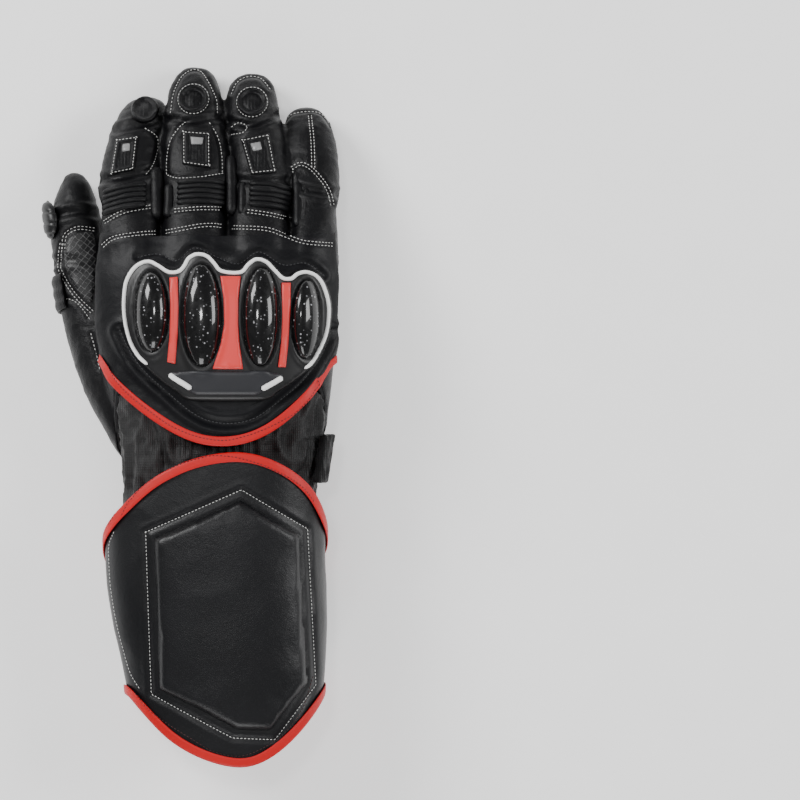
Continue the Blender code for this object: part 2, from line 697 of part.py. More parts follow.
# Thumb sewn into the side of the hand; it stops at the hand leather, which is open into it
def build_thumb(hand_shell):
    outer = [0.0, 0.14, 0.28, 0.42, 0.56, 0.70, 0.82, 0.89, 0.945, 0.985]
    inner = [0.0, 0.25, 0.5, 0.72, 0.87, 0.96]
    end = 1 - WALL / (THUMB.middle(1.0)[1] - THUMB.middle(0.0)[1])
    rings = list(reversed(THUMB.rings(outer, 0.0, 1.0, 0.0))) + THUMB.rings(inner, -WALL, end, WALL)
    thumb = loft("thumb", rings, LEATHER, THUMB.tip(1.0, 0.0), THUMB.tip(end, WALL))
    stations = [-0.9, -0.45] + HAND_STATIONS + [1.06]
    solid = [hand_ring(share, THUMB_SEAT) for share in reversed(stations)]
    ends = [tuple(np.mean(np.array(ring), axis=0)) for ring in (solid[0], solid[-1])]
    cut(thumb, cutter(loft("hand_form", solid, LEATHER, *ends)))
    stations = [0.12, 0.28, 0.42, 0.56, 0.66]
    plug = list(reversed(THUMB.rings(stations, -WALL, 1.0, WALL)))
    ends = [THUMB.tip(stations[-1], WALL), THUMB.tip(stations[0], WALL)]
    cut(hand_shell, cutter(loft("thumb_cavity", plug, LEATHER, *ends)))


# Leather over the back of the hand, lifted a little at its bound hem and over the finger roots
def build_back_panel():
    reach = 0.965
    shares = [reach * math.cos(math.pi * i / 18) for i in range(18, -1, -1)]

    def hem(share):
        return HEM_MIDDLE + HEM_RISE * abs(share / reach) ** 2.2

    # Rows across the panel from its hem to the finger roots, each with its lift off the hand
    def rows(share):
        start, flat = hem(share), hem(share) + HEM_FADE
        level = [flat + step * (BACK_REACH - FRONT_FADE - flat) for step in (0.0, 0.3, 0.55, 0.78, 1.0)]
        return ([start, start + HEM_FADE * 0.4] + level + [BACK_REACH],
                [HEM_LIFT, HEM_LIFT * 0.5] + [0.0] * len(level) + [FRONT_LIFT])

    def spot(share, y, height):
        return HAND.skin(share, y, SEAT + OVERLAY / 2 + np.interp(y, *rows(share)) + height)

    def panel_face(height):
        return [[spot(share, y, height) for y in rows(share)[0]] for share in shares]
    sheet("back_panel", panel_face(-OVERLAY / 2), panel_face(OVERLAY / 2), LEATHER)
    binding("back_panel_binding", [(share, hem(share)) for share in shares], spot, False, RED)


# The protector is built in shares of its own width and length on the back of the hand
def guard_place(side, along, height):
    return HAND.back(GUARD_MIDDLE + side * GUARD_WIDTH, GUARD_START + along * GUARD_LENGTH,
                     2 * SEAT + OVERLAY + height)


def guard_edge(table, side):
    return read(table, "side", "along", side)


def build_knuckle_guard():
    rows = [0.0, 0.06, 0.30, 0.54, 0.77, 0.94, 1.0]
    sides = GUARD_COLUMNS

    def spot(side, row):
        bottom, top = guard_edge(GUARD_BOTTOM, side), guard_edge(GUARD_TOP, side)
        return bottom + rows[row] * (top - bottom)

    def height(side, row):
        edge = row in (0, len(rows) - 1) or side in (sides[0], sides[-1])
        return GUARD_BASE * (0.6 if edge else 1.0)
    low = grid(sides, range(len(rows)), lambda s, r: guard_place(s, spot(s, r), 0.0))
    high = grid(sides, range(len(rows)), lambda s, r: guard_place(s, spot(s, r), height(s, r)))
    sheet("knuckle_base", low, high, RUBBER)
    build_domes()
    build_inlays()
    build_white_line()


def build_domes():
    steps = [(0.97, 0.30 * DOME_RISE), (0.80, 0.72 * DOME_RISE), (0.45, 0.95 * DOME_RISE), (0.0, DOME_RISE)]
    for row in DOMES:
        middle = (row["side"], (row["start"] + row["end"]) / 2)
        long = (row["end"] - row["start"]) / 2
        outline = []
        for a in angles(14):
            c, s = squared(a, 2.1)
            outline.append((middle[0] + row["half"] * c, middle[1] + long * s))
        pad(row["name"], guard_place, outline, middle, steps, GUARD_BASE + GUARD_SEAT, CARBON, sharp=60.0)


def build_inlays():
    for row in INLAYS:
        levels = [dict(at=i / 2, left=left, right=right) for i, (left, right) in enumerate(row["rows"])]

        def spot(u, v, height, row=row, levels=levels):
            left, right = (read(levels, "at", column, u) for column in ("left", "right"))
            along = row["start"] + u * (row["end"] - row["start"])
            return guard_place(left + v * (right - left), along, GUARD_BASE + GUARD_SEAT + height)
        us, vs = [0.0, 0.2, 0.4, 0.6, 0.8, 1.0], [0.0, 0.5, 1.0]
        low = grid(us, vs, lambda u, v: spot(u, v, 0.0))
        high = grid(us, vs, lambda u, v: spot(u, v, INLAY_RISE))
        sheet(row["name"], high, low, CORAL)


# Raised white line that follows the protector's upper edge, and the two dashes and grey plate below it
def build_white_line():
    inset = LINE_INSET / GUARD_LENGTH
    left = [(-0.385, 0.255), (-0.447, 0.355), (-0.480, 0.470), (-0.486, 0.600)]
    right = [(0.486, 0.600), (0.480, 0.470), (0.447, 0.345), (0.385, 0.235)]
    sides = np.linspace(-0.476, 0.476, 35)
    spots = left + [(side, guard_edge(GUARD_TOP, side) - inset) for side in sides] + right
    white_strip("knuckle_white_line", spots, LINE_WIDTH)
    white_strip("knuckle_dash_left", [(-0.262, 0.168), (-0.205, 0.118), (-0.155, 0.070)], 1.5 * LINE_WIDTH)
    white_strip("knuckle_dash_right", [(0.262, 0.150), (0.215, 0.108), (0.175, 0.070)], 1.5 * LINE_WIDTH)
    steps = [(1.0, 0.6 * PLATE_RISE), (0.9, PLATE_RISE), (0.0, PLATE_RISE)]
    pad("knuckle_plate", guard_place, PLATE, (0.0, 0.08), steps, GUARD_BASE + GUARD_SEAT, GREY)


def white_strip(name, spots, width):
    rings = []
    for i, (side, along) in enumerate(spots):
        before, after = spots[max(i - 1, 0)], spots[min(i + 1, len(spots) - 1)]
        run = unit(np.array(((after[0] - before[0]) * GUARD_WIDTH, (after[1] - before[1]) * GUARD_LENGTH)))
        across = np.array((-run[1] / GUARD_WIDTH, run[0] / GUARD_LENGTH)) * width / 2
        seat = GUARD_BASE + GUARD_SEAT
        rings.append([guard_place(side + across[0] * b, along + across[1] * b, seat + h)
                      for b, h in ((1, 0), (1, LINE_RISE), (-1, LINE_RISE), (-1, 0))])
    capped(name, rings, WHITE)


class Cuff:
    # Middle, half width, level, upper half height and lower half height at y
    def section(self, y):
        middle, width, level, height = HAND.section(max(y, GAITER_START))
        wrist = HAND.section(GAITER_START)[1]
        shift, share, dip = (read(CUFF_SECTIONS, "along", column, y / CUFF_LENGTH)
                             for column in ("shift", "width", "dip"))
        if y > GAITER_START:
            half = max(width + CUFF_EASE, (wrist + CUFF_EASE) * share)
        else:
            half = (wrist + CUFF_EASE) * share
        upper = height + BINDING_THICKNESS / 2 + CUFF_LIFT - dip * HAND_HEIGHT
        return middle + shift * PALM_WIDTH, half, level, upper, level + CUFF_PRESS - BINDING_THICKNESS / 2

    # How far the wing lies inside the flap
    def tuck(self, turn):
        spacing = BINDING_THICKNESS + CLEARANCE
        return spacing * (1 - smooth((turn - 58) / 60))

    # Place at a wrap angle (degrees from the wing's end) and y, height over the panel's middle
    def place(self, turn, y, height=0.0):
        middle, width, level, upper, lower = self.section(y)
        grow = height - self.tuck(turn)
        c, s = squared(math.radians(WING_ANGLE - turn), HAND_SQUARE)
        x = middle + (width + grow) * c
        z = level + ((upper if s > 0 else lower) + grow) * s
        return (x, y, max(z, BINDING_THICKNESS / 2 - grow))

    # Place on the back of the cuff at x, y
    def back(self, x, y, grow=0.0):
        middle, width, level, upper, _ = self.section(y)
        return (x, y, level + (upper + grow) * crown((x - middle) / (width + grow), HAND_SQUARE))

    def edges(self, turn):
        top = read(CUFF_EDGES, "turn", "top", turn) * CUFF_LENGTH
        bottom = read(CUFF_EDGES, "turn", "bottom", turn) * CUFF_LENGTH
        past = max((WING_ROUND - turn) / WING_ROUND, (turn - WRAP + FLAP_ROUND) / FLAP_ROUND, 0.0)
        shrink = (1 - min(past * 0.97, 1.0) ** 3) ** (1 / 3)
        middle = (top + bottom) / 2
        return middle + (bottom - middle) * shrink, middle + (top - middle) * shrink


CUFF = Cuff()


def build_cuff():
    turns = [0.0, 3.0, WING_ROUND] + list(np.linspace(WING_ROUND, WRAP - FLAP_ROUND, 30)[1:])
    turns += [WRAP - FLAP_ROUND * share for share in (0.62, 0.36, 0.17, 0.05, 0.0)]
    shares = [0.0, 0.16, 0.4, 0.6, 0.84, 1.0]

    def across(turn, share):
        bottom, top = CUFF.edges(turn)
        return bottom + share * (top - bottom)

    def panel_face(height):
        return grid(turns, shares, lambda turn, share: CUFF.place(turn, across(turn, share), height))
    sheet("cuff_panel", panel_face(-CUFF_THICKNESS / 2), panel_face(CUFF_THICKNESS / 2), LEATHER)
    path = [(turn, 0.0) for turn in turns]
    path += [(turns[-1], share) for share in shares[1:-1]]
    path += [(turn, 1.0) for turn in reversed(turns)]
    path += [(turns[0], share) for share in reversed(shares[1:-1])]
    binding("cuff_binding", [(turn, across(turn, share)) for turn, share in path], CUFF.place, True, RED)


# Padded hexagon on the back of the cuff
def build_cuff_pad():
    sides = [row["side"] for row in CUFF_PAD]
    inset = CUFF_PAD_BEVEL / PALM_WIDTH
    columns = sorted(sides + [sides[0] + inset, sides[-1] - inset, -0.143, -0.036, 0.152, 0.286])
    shares = [0.0, 0.035, 0.3, 0.5, 0.7, 0.965, 1.0]

    def spot(side, share, rise):
        start, end = (np.interp(side, sides, [row[key] for row in CUFF_PAD]) for key in ("start", "end"))
        along = start + share * (end - start)
        return CUFF.back(side * PALM_WIDTH, along * CUFF_LENGTH, CUFF_THICKNESS / 2 + SEAT + rise)

    def height(side, share):
        edge = share in (0.0, 1.0) or side in (sides[0], sides[-1])
        return CUFF_PAD_EDGE if edge else CUFF_PAD_RISE
    low = grid(columns, shares, lambda side, share: spot(side, share, 0.0))
    high = grid(columns, shares, lambda side, share: spot(side, share, height(side, share)))
    sheet("cuff_pad", low, high, LEATHER)


# Ribbed stretch inserts, round tip pads and rectangular sliders on the fingers
def build_finger_armour(fingers):
    for row in RIBS:
        finger = fingers[row["finger"]]
        ys = [KNUCKLE_LINE + RIB_START + RIB_PITCH / 2 * i for i in range(7)]
        shares = [-0.62, -0.34, 0.0, 0.34, 0.62]

        def spot(share, y, height, finger=finger):
            middle, width, _, _ = finger.section((y - KNUCKLE_LINE) / finger.length)
            return finger.back(middle + share * width, y, 1.4 * SEAT + height)
        low = grid(shares, ys, lambda share, y: spot(share, y, 0.0))
        rises = [RIB_RISE if i % 2 else RIB_RISE * 0.3 for i in range(len(ys))]
        high = [[spot(share, y, rise) for y, rise in zip(ys, rises)] for share in shares]
        sheet(row["name"], low, high, LEATHER)
    for row in TIP_PADS:
        finger = fingers[row["finger"]]
        t = row["along"]
        middle = (finger.section(t)[0], KNUCKLE_LINE + t * finger.length)
        outline = [(middle[0] + TIP_PAD_RADIUS * math.cos(a), middle[1] + TIP_PAD_RADIUS * math.sin(a))
                   for a in angles(12)]
        steps = [(0.96, TIP_PAD_RISE * 0.6), (0.84, TIP_PAD_RISE), (0.66, TIP_PAD_RISE),
                 (0.54, TIP_PAD_RISE * 0.5), (0.0, TIP_PAD_RISE * 0.6)]
        pad(row["name"], finger.back, outline, middle, steps, SEAT, RUBBER)
    for row in SLIDERS:
        finger = fingers[row["finger"]]
        middle = (finger.section(row["along"])[0] + row["side"] * SLIDER_WIDTH,
                  KNUCKLE_LINE + row["along"] * finger.length)
        turn = math.radians(row["turn"])
        outline = []
        for a in angles(12):
            c, s = squared(a, 4.0)
            x, y = c * SLIDER_WIDTH / 2, s * SLIDER_LENGTH / 2
            outline.append((middle[0] + x * math.cos(turn) - y * math.sin(turn),
                            middle[1] + x * math.sin(turn) + y * math.cos(turn)))
        floor = SLIDER_RISE * 0.5
        steps = [(0.96, SLIDER_RISE), (0.72, SLIDER_RISE), (0.62, floor), (0.0, floor)]
        pad(row["name"], finger.back, outline, middle, steps, SEAT, RUBBER)


# Tongues of rolled leather that lie in the valleys between the fingers
def build_gussets(fingers):
    half = GUSSET_WIDTH / 2
    outline = [(0.0, 0.35), (0.08, 0.75), (0.25, 1.0), (0.5, 1.0), (0.75, 1.0), (0.92, 0.75), (1.0, 0.35)]
    for name, left, right in zip(GUSSETS, fingers, fingers[1:]):
        rings = []
        for step, share in outline:
            y = KNUCKLE_LINE + GUSSET_START + step * GUSSET_LENGTH
            edges = [finger.section((y - KNUCKLE_LINE) / finger.length)[:2] for finger in (left, right)]
            middle = (edges[0][0] + edges[0][1] + edges[1][0] - edges[1][1]) / 2

            def top(offset):
                return max(left.back(middle + offset, y, SEAT)[2], right.back(middle + offset, y, SEAT)[2])
            ridge = (top(half * share) + top(-half * share)) / 2
            profile = [(1.0, top(half * share)), (0.5, ridge + GUSSET_RISE * share),
                       (-0.5, ridge + GUSSET_RISE * share), (-1.0, top(-half * share)),
                       (-0.4, top(-0.4 * half * share)), (0.4, top(0.4 * half * share))]
            rings.append([(middle + offset * half * share, y, z) for offset, z in profile])
        capped(name, [list(reversed(ring)) for ring in rings], LEATHER, sharp=70.0)


# Guard, ribs and grip patch on the thumb
def build_thumb_armour():
    middle = (THUMB_GUARD["at"], math.radians(THUMB_GUARD["turn"]))
    half_turn = math.radians(THUMB_GUARD["half_turn"])
    outline = [(middle[0] + THUMB_GUARD["half"] * math.cos(a), middle[1] + half_turn * math.sin(a))
               for a in angles(12)]
    steps = [(0.95, THUMB_GUARD_RISE * 0.45), (0.68, THUMB_GUARD_RISE * 0.9), (0.0, THUMB_GUARD_RISE)]
    pad("thumb_guard", THUMB.point, outline, middle, steps, SEAT, RUBBER)

    def skin(name, row, count, rises, finish):
        places = np.linspace(row["start"], row["end"], len(rises))
        turns = [math.radians(angle) for angle in np.linspace(*row["turns"], count)]
        low = grid(places, turns, lambda t, a: THUMB.point(t, a, SEAT))
        high = [[THUMB.point(t, a, SEAT + rise) for a in turns] for t, rise in zip(places, rises)]
        sheet(name, low, high, finish)
    skin("thumb_ribs", THUMB_RIBS, 5, [THUMB_RIB_RISE * (1.0 if i % 2 else 0.3) for i in range(7)], LEATHER)
    skin("thumb_patch", THUMB_PATCH, 5, [PATCH_THICKNESS] * 5, GRIP)


# Grip patches and heel pads on the palm side
def build_palm(fingers):
    def on_palm(side, along, height):
        return HAND.palm(HAND.section(KNUCKLE_LINE)[0] + side * PALM_WIDTH, along * KNUCKLE_LINE, height)

    def patch(name, xs, shares, spot):
        low = grid(shares, xs, lambda share, x: spot(share, x, SEAT))
        high = grid(shares, xs, lambda share, x: spot(share, x, SEAT + PATCH_THICKNESS))
        sheet(name, low, high, GRIP)
    shares = [0.0, 0.25, 0.5, 0.75, 1.0]
    sides = np.linspace(PALM_GRIP[0]["side"], PALM_GRIP[-1]["side"], 10)

    def across(share, side, height):
        start, end = (read(PALM_GRIP, "side", column, side) for column in ("start", "end"))
        return on_palm(side, start + share * (end - start), height)
    patch("palm_grip", sides, shares, across)
    for row in FINGER_GRIPS:
        finger = fingers[row["finger"]]

        def under(share, side, height, finger=finger, row=row):
            t = row["start"] + share * (row["end"] - row["start"])
            middle, width, _, _ = finger.section(t)
            return finger.palm(middle + side * width, KNUCKLE_LINE + t * finger.length, height)
        patch(row["name"], [-0.60, -0.32, 0.0, 0.32, 0.60], shares, under)
    for row in HEEL_PADS:
        steps = [(0.97, HEEL_PAD_RISE * 0.4), (0.84, HEEL_PAD_RISE), (0.0, HEEL_PAD_RISE)]
        pad(row["name"], on_palm, row["outline"], row["middle"], steps, HEEL_SEAT, LEATHER)


# Strap, keeper and tab on the wrist gaiter
def build_straps():
    for row in STRAPS:
        turns = [math.radians(angle) for angle in np.linspace(*row["turns"], row["count"])]
        ys = [row["start"], row["start"] + row["width"]]
        seat = SEAT + row["under"]
        low = grid(ys, turns, lambda y, a: HAND.point(y, a, seat))
        high = grid(ys, turns, lambda y, a: HAND.point(y, a, seat + row["thickness"]))
        sheet(row["name"], low, high, row["finish"])


def finish_part():
    bpy.context.view_layer.update()
    corners = []
    for item in bpy.data.objects:
        if item.type == "MESH" and not item.hide_render:
            corners += [item.matrix_world @ vertex.co for vertex in item.data.vertices]
    corners = np.array([tuple(c) for c in corners])
    low, high = corners.min(axis=0), corners.max(axis=0)
    bpy.data.objects["glove"].location = (-(low[0] + high[0]) / 2, -(low[1] + high[1]) / 2, -low[2])


def main():
    start_empty_scene()
    root = bpy.data.objects.new("glove", None)
    bpy.context.scene.collection.objects.link(root)
    fingers = [build_finger(row) for row in FINGERS]
    hand_shell = build_hand_shell()
    build_gaiter()
    build_thumb(hand_shell)
    build_back_panel()
    build_knuckle_guard()
    build_cuff()
    build_cuff_pad()
    build_finger_armour(fingers)
    build_gussets(fingers)
    build_thumb_armour()
    build_palm(fingers)
    build_straps()
    finish_part()


main()
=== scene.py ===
import math

import bmesh
import bpy
import numpy as np
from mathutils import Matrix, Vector, noise
from mathutils.bvhtree import BVHTree
from mathutils.geometry import delaunay_2d_cdt
from mathutils.kdtree import KDTree


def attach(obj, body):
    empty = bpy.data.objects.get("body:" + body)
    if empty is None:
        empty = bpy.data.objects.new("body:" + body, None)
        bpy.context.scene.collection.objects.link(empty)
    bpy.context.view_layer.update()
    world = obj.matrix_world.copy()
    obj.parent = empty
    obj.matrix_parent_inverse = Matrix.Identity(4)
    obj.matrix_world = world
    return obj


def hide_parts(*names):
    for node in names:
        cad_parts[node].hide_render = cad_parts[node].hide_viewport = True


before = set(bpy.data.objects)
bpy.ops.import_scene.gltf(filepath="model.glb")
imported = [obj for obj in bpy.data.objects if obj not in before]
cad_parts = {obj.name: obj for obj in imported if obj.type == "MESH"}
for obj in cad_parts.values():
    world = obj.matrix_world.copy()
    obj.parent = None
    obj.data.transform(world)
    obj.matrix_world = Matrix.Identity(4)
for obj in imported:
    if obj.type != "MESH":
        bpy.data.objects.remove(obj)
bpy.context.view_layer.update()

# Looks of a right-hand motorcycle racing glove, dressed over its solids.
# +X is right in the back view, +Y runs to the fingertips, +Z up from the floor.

mm = 0.001
photo = {"scale": 0.46 * mm, "backZero": (190.0, 413.9), "palmZero": (555.3, 413.9)}  # pixel at the origin
fingerNodes = ["index_finger", "middle_finger", "ring_finger", "little_finger"]
threads = {"white": [], "red": [], "grey": []}


# Places in the photo's two views, as metres in the frame
def fromBack(spots):
    x0, y0 = photo["backZero"]
    return np.array([((x - x0) * photo["scale"], (y0 - y) * photo["scale"]) for x, y in spots])


def fromPalm(spots):
    x0, y0 = photo["palmZero"]
    return np.array([((x0 - x) * photo["scale"], (y0 - y) * photo["scale"]) for x, y in spots])


def smoothStep(t):
    t = np.clip(t, 0.0, 1.0)
    return t * t * (3.0 - 2.0 * t)


# Even points along a line through the given spots; bend rounds its corners
def traced(spots, step, closed=False, bend=True):
    spots = np.asarray(spots, float)
    if closed:
        spots = np.vstack([spots, spots[:1]])
    if bend:
        ends = (spots[-2], spots[1]) if closed else (spots[0], spots[-1])
        around = np.vstack([ends[:1], spots, ends[1:]])
        t = np.linspace(0.0, 1.0, 9)[:-1, None]
        curves = [a * (1 + 2 * t) * (1 - t) ** 2 + (b - before) / 2 * t * (1 - t) ** 2
                  + b * t * t * (3 - 2 * t) + (after - a) / 2 * t * t * (t - 1)
                  for before, a, b, after in zip(around, around[1:], around[2:], around[3:])]
        spots = np.vstack(curves + [spots[-1:]])
    lengths = np.concatenate([[0.0], np.cumsum(np.linalg.norm(np.diff(spots, axis=0), axis=1))])
    count = max(2, int(round(lengths[-1] / step)) + 1)
    even = np.linspace(0.0, lengths[-1], count)
    line = np.column_stack([np.interp(even, lengths, spots[:, k]) for k in range(spots.shape[1])])
    return line[:-1] if closed else line


def sideways(line, shift, closed=False):
    ahead = np.roll(line, -1, axis=0) - np.roll(line, 1, axis=0)
    if not closed:
        ahead[0] = line[1] - line[0]
        ahead[-1] = line[-1] - line[-2]
    ahead /= np.linalg.norm(ahead, axis=1)[:, None] + 1e-12
    return line + shift * np.column_stack([-ahead[:, 1], ahead[:, 0]])


def ellipse(centre, half, turn=0.0, count=48):
    a = np.linspace(0, 2 * math.pi, count, endpoint=False)
    x, y = half[0] * np.cos(a), half[1] * np.sin(a)
    t = math.radians(turn)
    return np.column_stack([centre[0] + x * math.cos(t) - y * math.sin(t),
                            centre[1] + x * math.sin(t) + y * math.cos(t)])


def backLine(spots, step=0.8 * mm, **kind):
    return traced(fromBack(spots), step, **kind)


def palmLine(spots, step=0.8 * mm, **kind):
    return traced(fromPalm(spots), step, **kind)


# Objects

def placed(name, data):
    made = bpy.data.objects.new(name, data)
    bpy.context.scene.collection.objects.link(made)
    return made


def newObject(name, points, faces, edges=()):
    mesh = bpy.data.meshes.new(name)
    mesh.from_pydata([tuple(map(float, p)) for p in points], [tuple(map(int, e)) for e in edges],
                     [tuple(map(int, f)) for f in faces])
    return placed(name, mesh)


def fromForm(name, form):
    mesh = bpy.data.meshes.new(name)
    form.to_mesh(mesh)
    form.free()
    return placed(name, mesh)


# A plain mesh of what the object's modifiers make
def applied(piece):
    graph = bpy.context.evaluated_depsgraph_get()
    mesh = bpy.data.meshes.new_from_object(piece.evaluated_get(graph))
    old = piece.data
    piece.modifiers.clear()
    piece.data = mesh
    bpy.data.meshes.remove(old)
    return piece


# A copy of a CAD node with its flat faces joined and its sharp edges creased, ready to subdivide
def cadCopy(node):
    form = bmesh.new()
    form.from_mesh(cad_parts[node].data)
    bmesh.ops.remove_doubles(form, verts=form.verts, dist=2e-5)
    bmesh.ops.join_triangles(form, faces=form.faces, angle_face_threshold=math.radians(40),
                             angle_shape_threshold=math.radians(60), cmp_seam=False)
    crease = form.edges.layers.float.new("crease_edge")
    for edge in form.edges:
        if len(edge.link_faces) == 2 and edge.calc_face_angle(0.0) > math.radians(52):
            edge[crease] = 1.0
    return fromForm(node + "_skin", form)


def shaped(piece, kind, **settings):
    step = piece.modifiers.new("step", kind)
    for key, value in settings.items():
        setattr(step, key, value)
    return applied(piece)


def subdivided(piece, levels):
    return shaped(piece, "SUBSURF", levels=levels, render_levels=levels)


def remeshed(piece, voxel):
    return shaped(piece, "REMESH", mode="VOXEL", voxel_size=voxel)


def relaxed(piece, factor, repeats):
    return shaped(piece, "SMOOTH", factor=factor, iterations=repeats)


def joined(name, parts):
    form = bmesh.new()
    for part in parts:
        form.from_mesh(part.data)
        bpy.data.objects.remove(part, do_unlink=True)
    return fromForm(name, form)


def vectors(rows, field):
    flat = np.empty(len(rows) * 3, np.float32)
    rows.foreach_get(field, flat)
    return flat.reshape(-1, 3).astype(float)


def points(piece):
    return vectors(piece.data.vertices, "co")


def normals(piece):
    return vectors(piece.data.vertex_normals, "vector")


def moveTo(piece, places):
    piece.data.vertices.foreach_set("co", np.asarray(places, np.float32).ravel())
    piece.data.update()


def tree(*pieces):
    places, faces = [], []
    for piece in pieces:
        start = len(places)
        places += [tuple(p) for p in points(piece)]
        faces += [tuple(start + i for i in face.vertices) for face in piece.data.polygons]
    return BVHTree.FromPolygons(places, faces)


# Where a vertical line meets the carrier: from above for face 1, from below for face -1
def land(carrier, x, y, face):
    start = Vector((x, y, 0.2 if face > 0 else -0.1))
    place, normal, _, _ = carrier.ray_cast(start, Vector((0.0, 0.0, -face)))
    if place is None:
        place, normal, _, _ = carrier.find_nearest(Vector((x, y, 0.03 + 0.03 * face)))
    if normal.z * face < 0:
        normal = -normal
    return place, normal


# Material, body and the CAD nodes that the piece stands for; slot is not used
def finish(piece, material, slot, *nodes):
    piece.data.materials.clear()
    piece.data.materials.append(material)
    piece.data.shade_smooth()
    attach(piece, "root")
    if nodes:
        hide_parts(*nodes)
    return piece


# Leather work

# Presses seams into a leather piece and lets the leather swell a little on both sides of them
def press(piece, lines, face, depth, width, swell=0.35, level=0.0):
    spots = np.vstack(lines)
    finder = KDTree(len(spots))
    for i, (x, y) in enumerate(spots):
        finder.insert((x, y, 0.0), i)
    finder.balance()
    places, ways = points(piece), normals(piece)
    reach = 4 * width
    low, high = spots.min(axis=0) - reach, spots.max(axis=0) + reach
    for i in np.where((ways[:, 2] * face > 0.12) & ((places[:, 2] - level) * face > 0))[0]:
        x, y, z = places[i]
        if x < low[0] or x > high[0] or y < low[1] or y > high[1]:
            continue
        gap = finder.find((x, y, 0.0))[2]
        if gap < reach:
            dent = -math.exp(-(gap / width) ** 2) + swell * math.exp(-((gap - 2.2 * width) / width) ** 2)
            places[i] += ways[i] * depth * dent
    moveTo(piece, places)


# Soft folds and creases from noise; stretch is the size of a fold along each axis
def wrinkle(piece, height, stretch, seed, where=None):
    places, ways = points(piece), normals(piece)
    size = np.array(stretch)
    for i in range(len(places)):
        amount = height if where is None else height * where(*places[i])
        if amount == 0.0:
            continue
        fold = 1.0 - abs(noise.noise(Vector(places[i] / size + seed))) * 2.0
        places[i] += ways[i] * amount * (fold - 0.6)
    moveTo(piece, places)


# A panel, pad or moulding with a free outline, built on what carries it. height(x, y, gap) is its
# rise, with gap measured in from the edge
def panel(name, outline, carrier, face, height, step, sink=0.0, seat=0.0, blend=0.0):
    ring = np.asarray(outline)
    low, high = ring.min(axis=0), ring.max(axis=0)
    start, end = ring, np.roll(ring, -1, axis=0)

    def edgeGap(spots):
        run = end - start
        along = np.einsum("ijk,jk->ij", spots[:, None, :] - start[None], run) / (np.sum(run * run, axis=1) + 1e-18)
        near = start[None] + np.clip(along, 0, 1)[:, :, None] * run[None]
        return np.linalg.norm(spots[:, None, :] - near, axis=2).min(axis=1)

    def inside(spots):
        x, y = spots[:, 0][:, None], spots[:, 1][:, None]
        crosses = (start[:, 1] > y) != (end[:, 1] > y)
        slope = (end[:, 0] - start[:, 0]) * (y - start[:, 1]) / (end[:, 1] - start[:, 1] + 1e-18) + start[:, 0]
        return (crosses & (x < slope)).sum(axis=1) % 2 == 1
    xs, ys = np.meshgrid(np.arange(low[0] + step / 2, high[0], step), np.arange(low[1] + step / 2, high[1], step))
    field = np.column_stack([xs.ravel(), ys.ravel()])
    field = field[inside(field)]
    field = field[edgeGap(field) > 0.55 * step]
    spots = np.vstack([ring, field])
    count = len(ring)
    net = delaunay_2d_cdt([Vector(p) for p in spots], [(i, (i + 1) % count) for i in range(count)], [], 1, 1e-9)
    flat = np.array([tuple(v) for v in net[0]])
    faces = [tuple(f) for f in net[2]]
    rises = height(flat[:, 0], flat[:, 1], edgeGap(flat))
    top, bottom = [], []
    for (x, y), rise in zip(flat, rises):
        place, normal = land(carrier, x, y, face)
        way = Vector((0.0, 0.0, float(face))).lerp(normal, blend).normalized()
        top.append(place + way * (seat + rise))
        bottom.append(place + way * (seat - sink))
    used = {edge: True for a, b, c in faces for edge in ((a, b), (b, c), (c, a))}
    shift = len(flat)
    walls = [(a, a + shift, b + shift, b) for a, b in used if (b, a) not in used]
    shell = faces + [(c + shift, b + shift, a + shift) for a, b, c in faces] + walls
    a, b, c = (Vector((*flat[i], 0.0)) for i in faces[0])
    if ((b - a).cross(c - a).z < 0) != (face < 0):
        shell = [tuple(reversed(f)) for f in shell]
    return newObject(name, top + bottom, shell)


def pillow(rise, shoulder, edge=0.25):
    def height(x, y, gap):
        return rise * (edge + (1 - edge) * np.sqrt(1 - (1 - np.clip(gap / shoulder, 0, 1)) ** 2))
    return height


# The cloth simulation that fills a pad
air = {"pressure": 2.5, "frames": 16, "quality": 5}


# Blows a pad up as cloth under pressure, then keeps each point within a cap of where it was
def inflated(piece, voxel, cap):
    remeshed(piece, voxel)
    before = points(piece)
    cloth = piece.modifiers.new("cloth", "CLOTH")
    settings = cloth.settings
    settings.use_pressure = True
    settings.uniform_pressure_force = air["pressure"]
    settings.effector_weights.gravity = 0.0
    settings.quality = air["quality"]
    scene = bpy.context.scene
    for step in range(1, air["frames"] + 1):
        scene.frame_set(step)
    applied(piece)
    scene.frame_set(1)
    moved = points(piece) - before
    far = np.linalg.norm(moved, axis=1)
    moved *= np.minimum(1.0, cap / np.maximum(far, 1e-9))[:, None]
    moveTo(piece, before + moved)
    return subdivided(piece, 1)


# Materials

def shaderOf(name, colour, roughness, **sockets):
    made = bpy.data.materials.new(name)
    made.use_nodes = True
    shader = made.node_tree.nodes["Principled BSDF"]
    shader.inputs["Base Color"].default_value = (*colour, 1.0)
    shader.inputs["Roughness"].default_value = roughness
    for key, value in sockets.items():
        shader.inputs[key.replace("_", " ")].default_value = value
    return made, made.node_tree, shader


def feed(nodes, socket, value):
    if isinstance(value, bpy.types.NodeSocket):
        nodes.links.new(value, socket)
    else:
        socket.default_value = value


def addNode(nodes, kind, settings=None, **sockets):
    node = nodes.nodes.new(kind)
    for key, value in (settings or {}).items():
        setattr(node, key, value)
    for key, value in sockets.items():
        feed(nodes, node.inputs[key.replace("_", " ")], value)
    return node


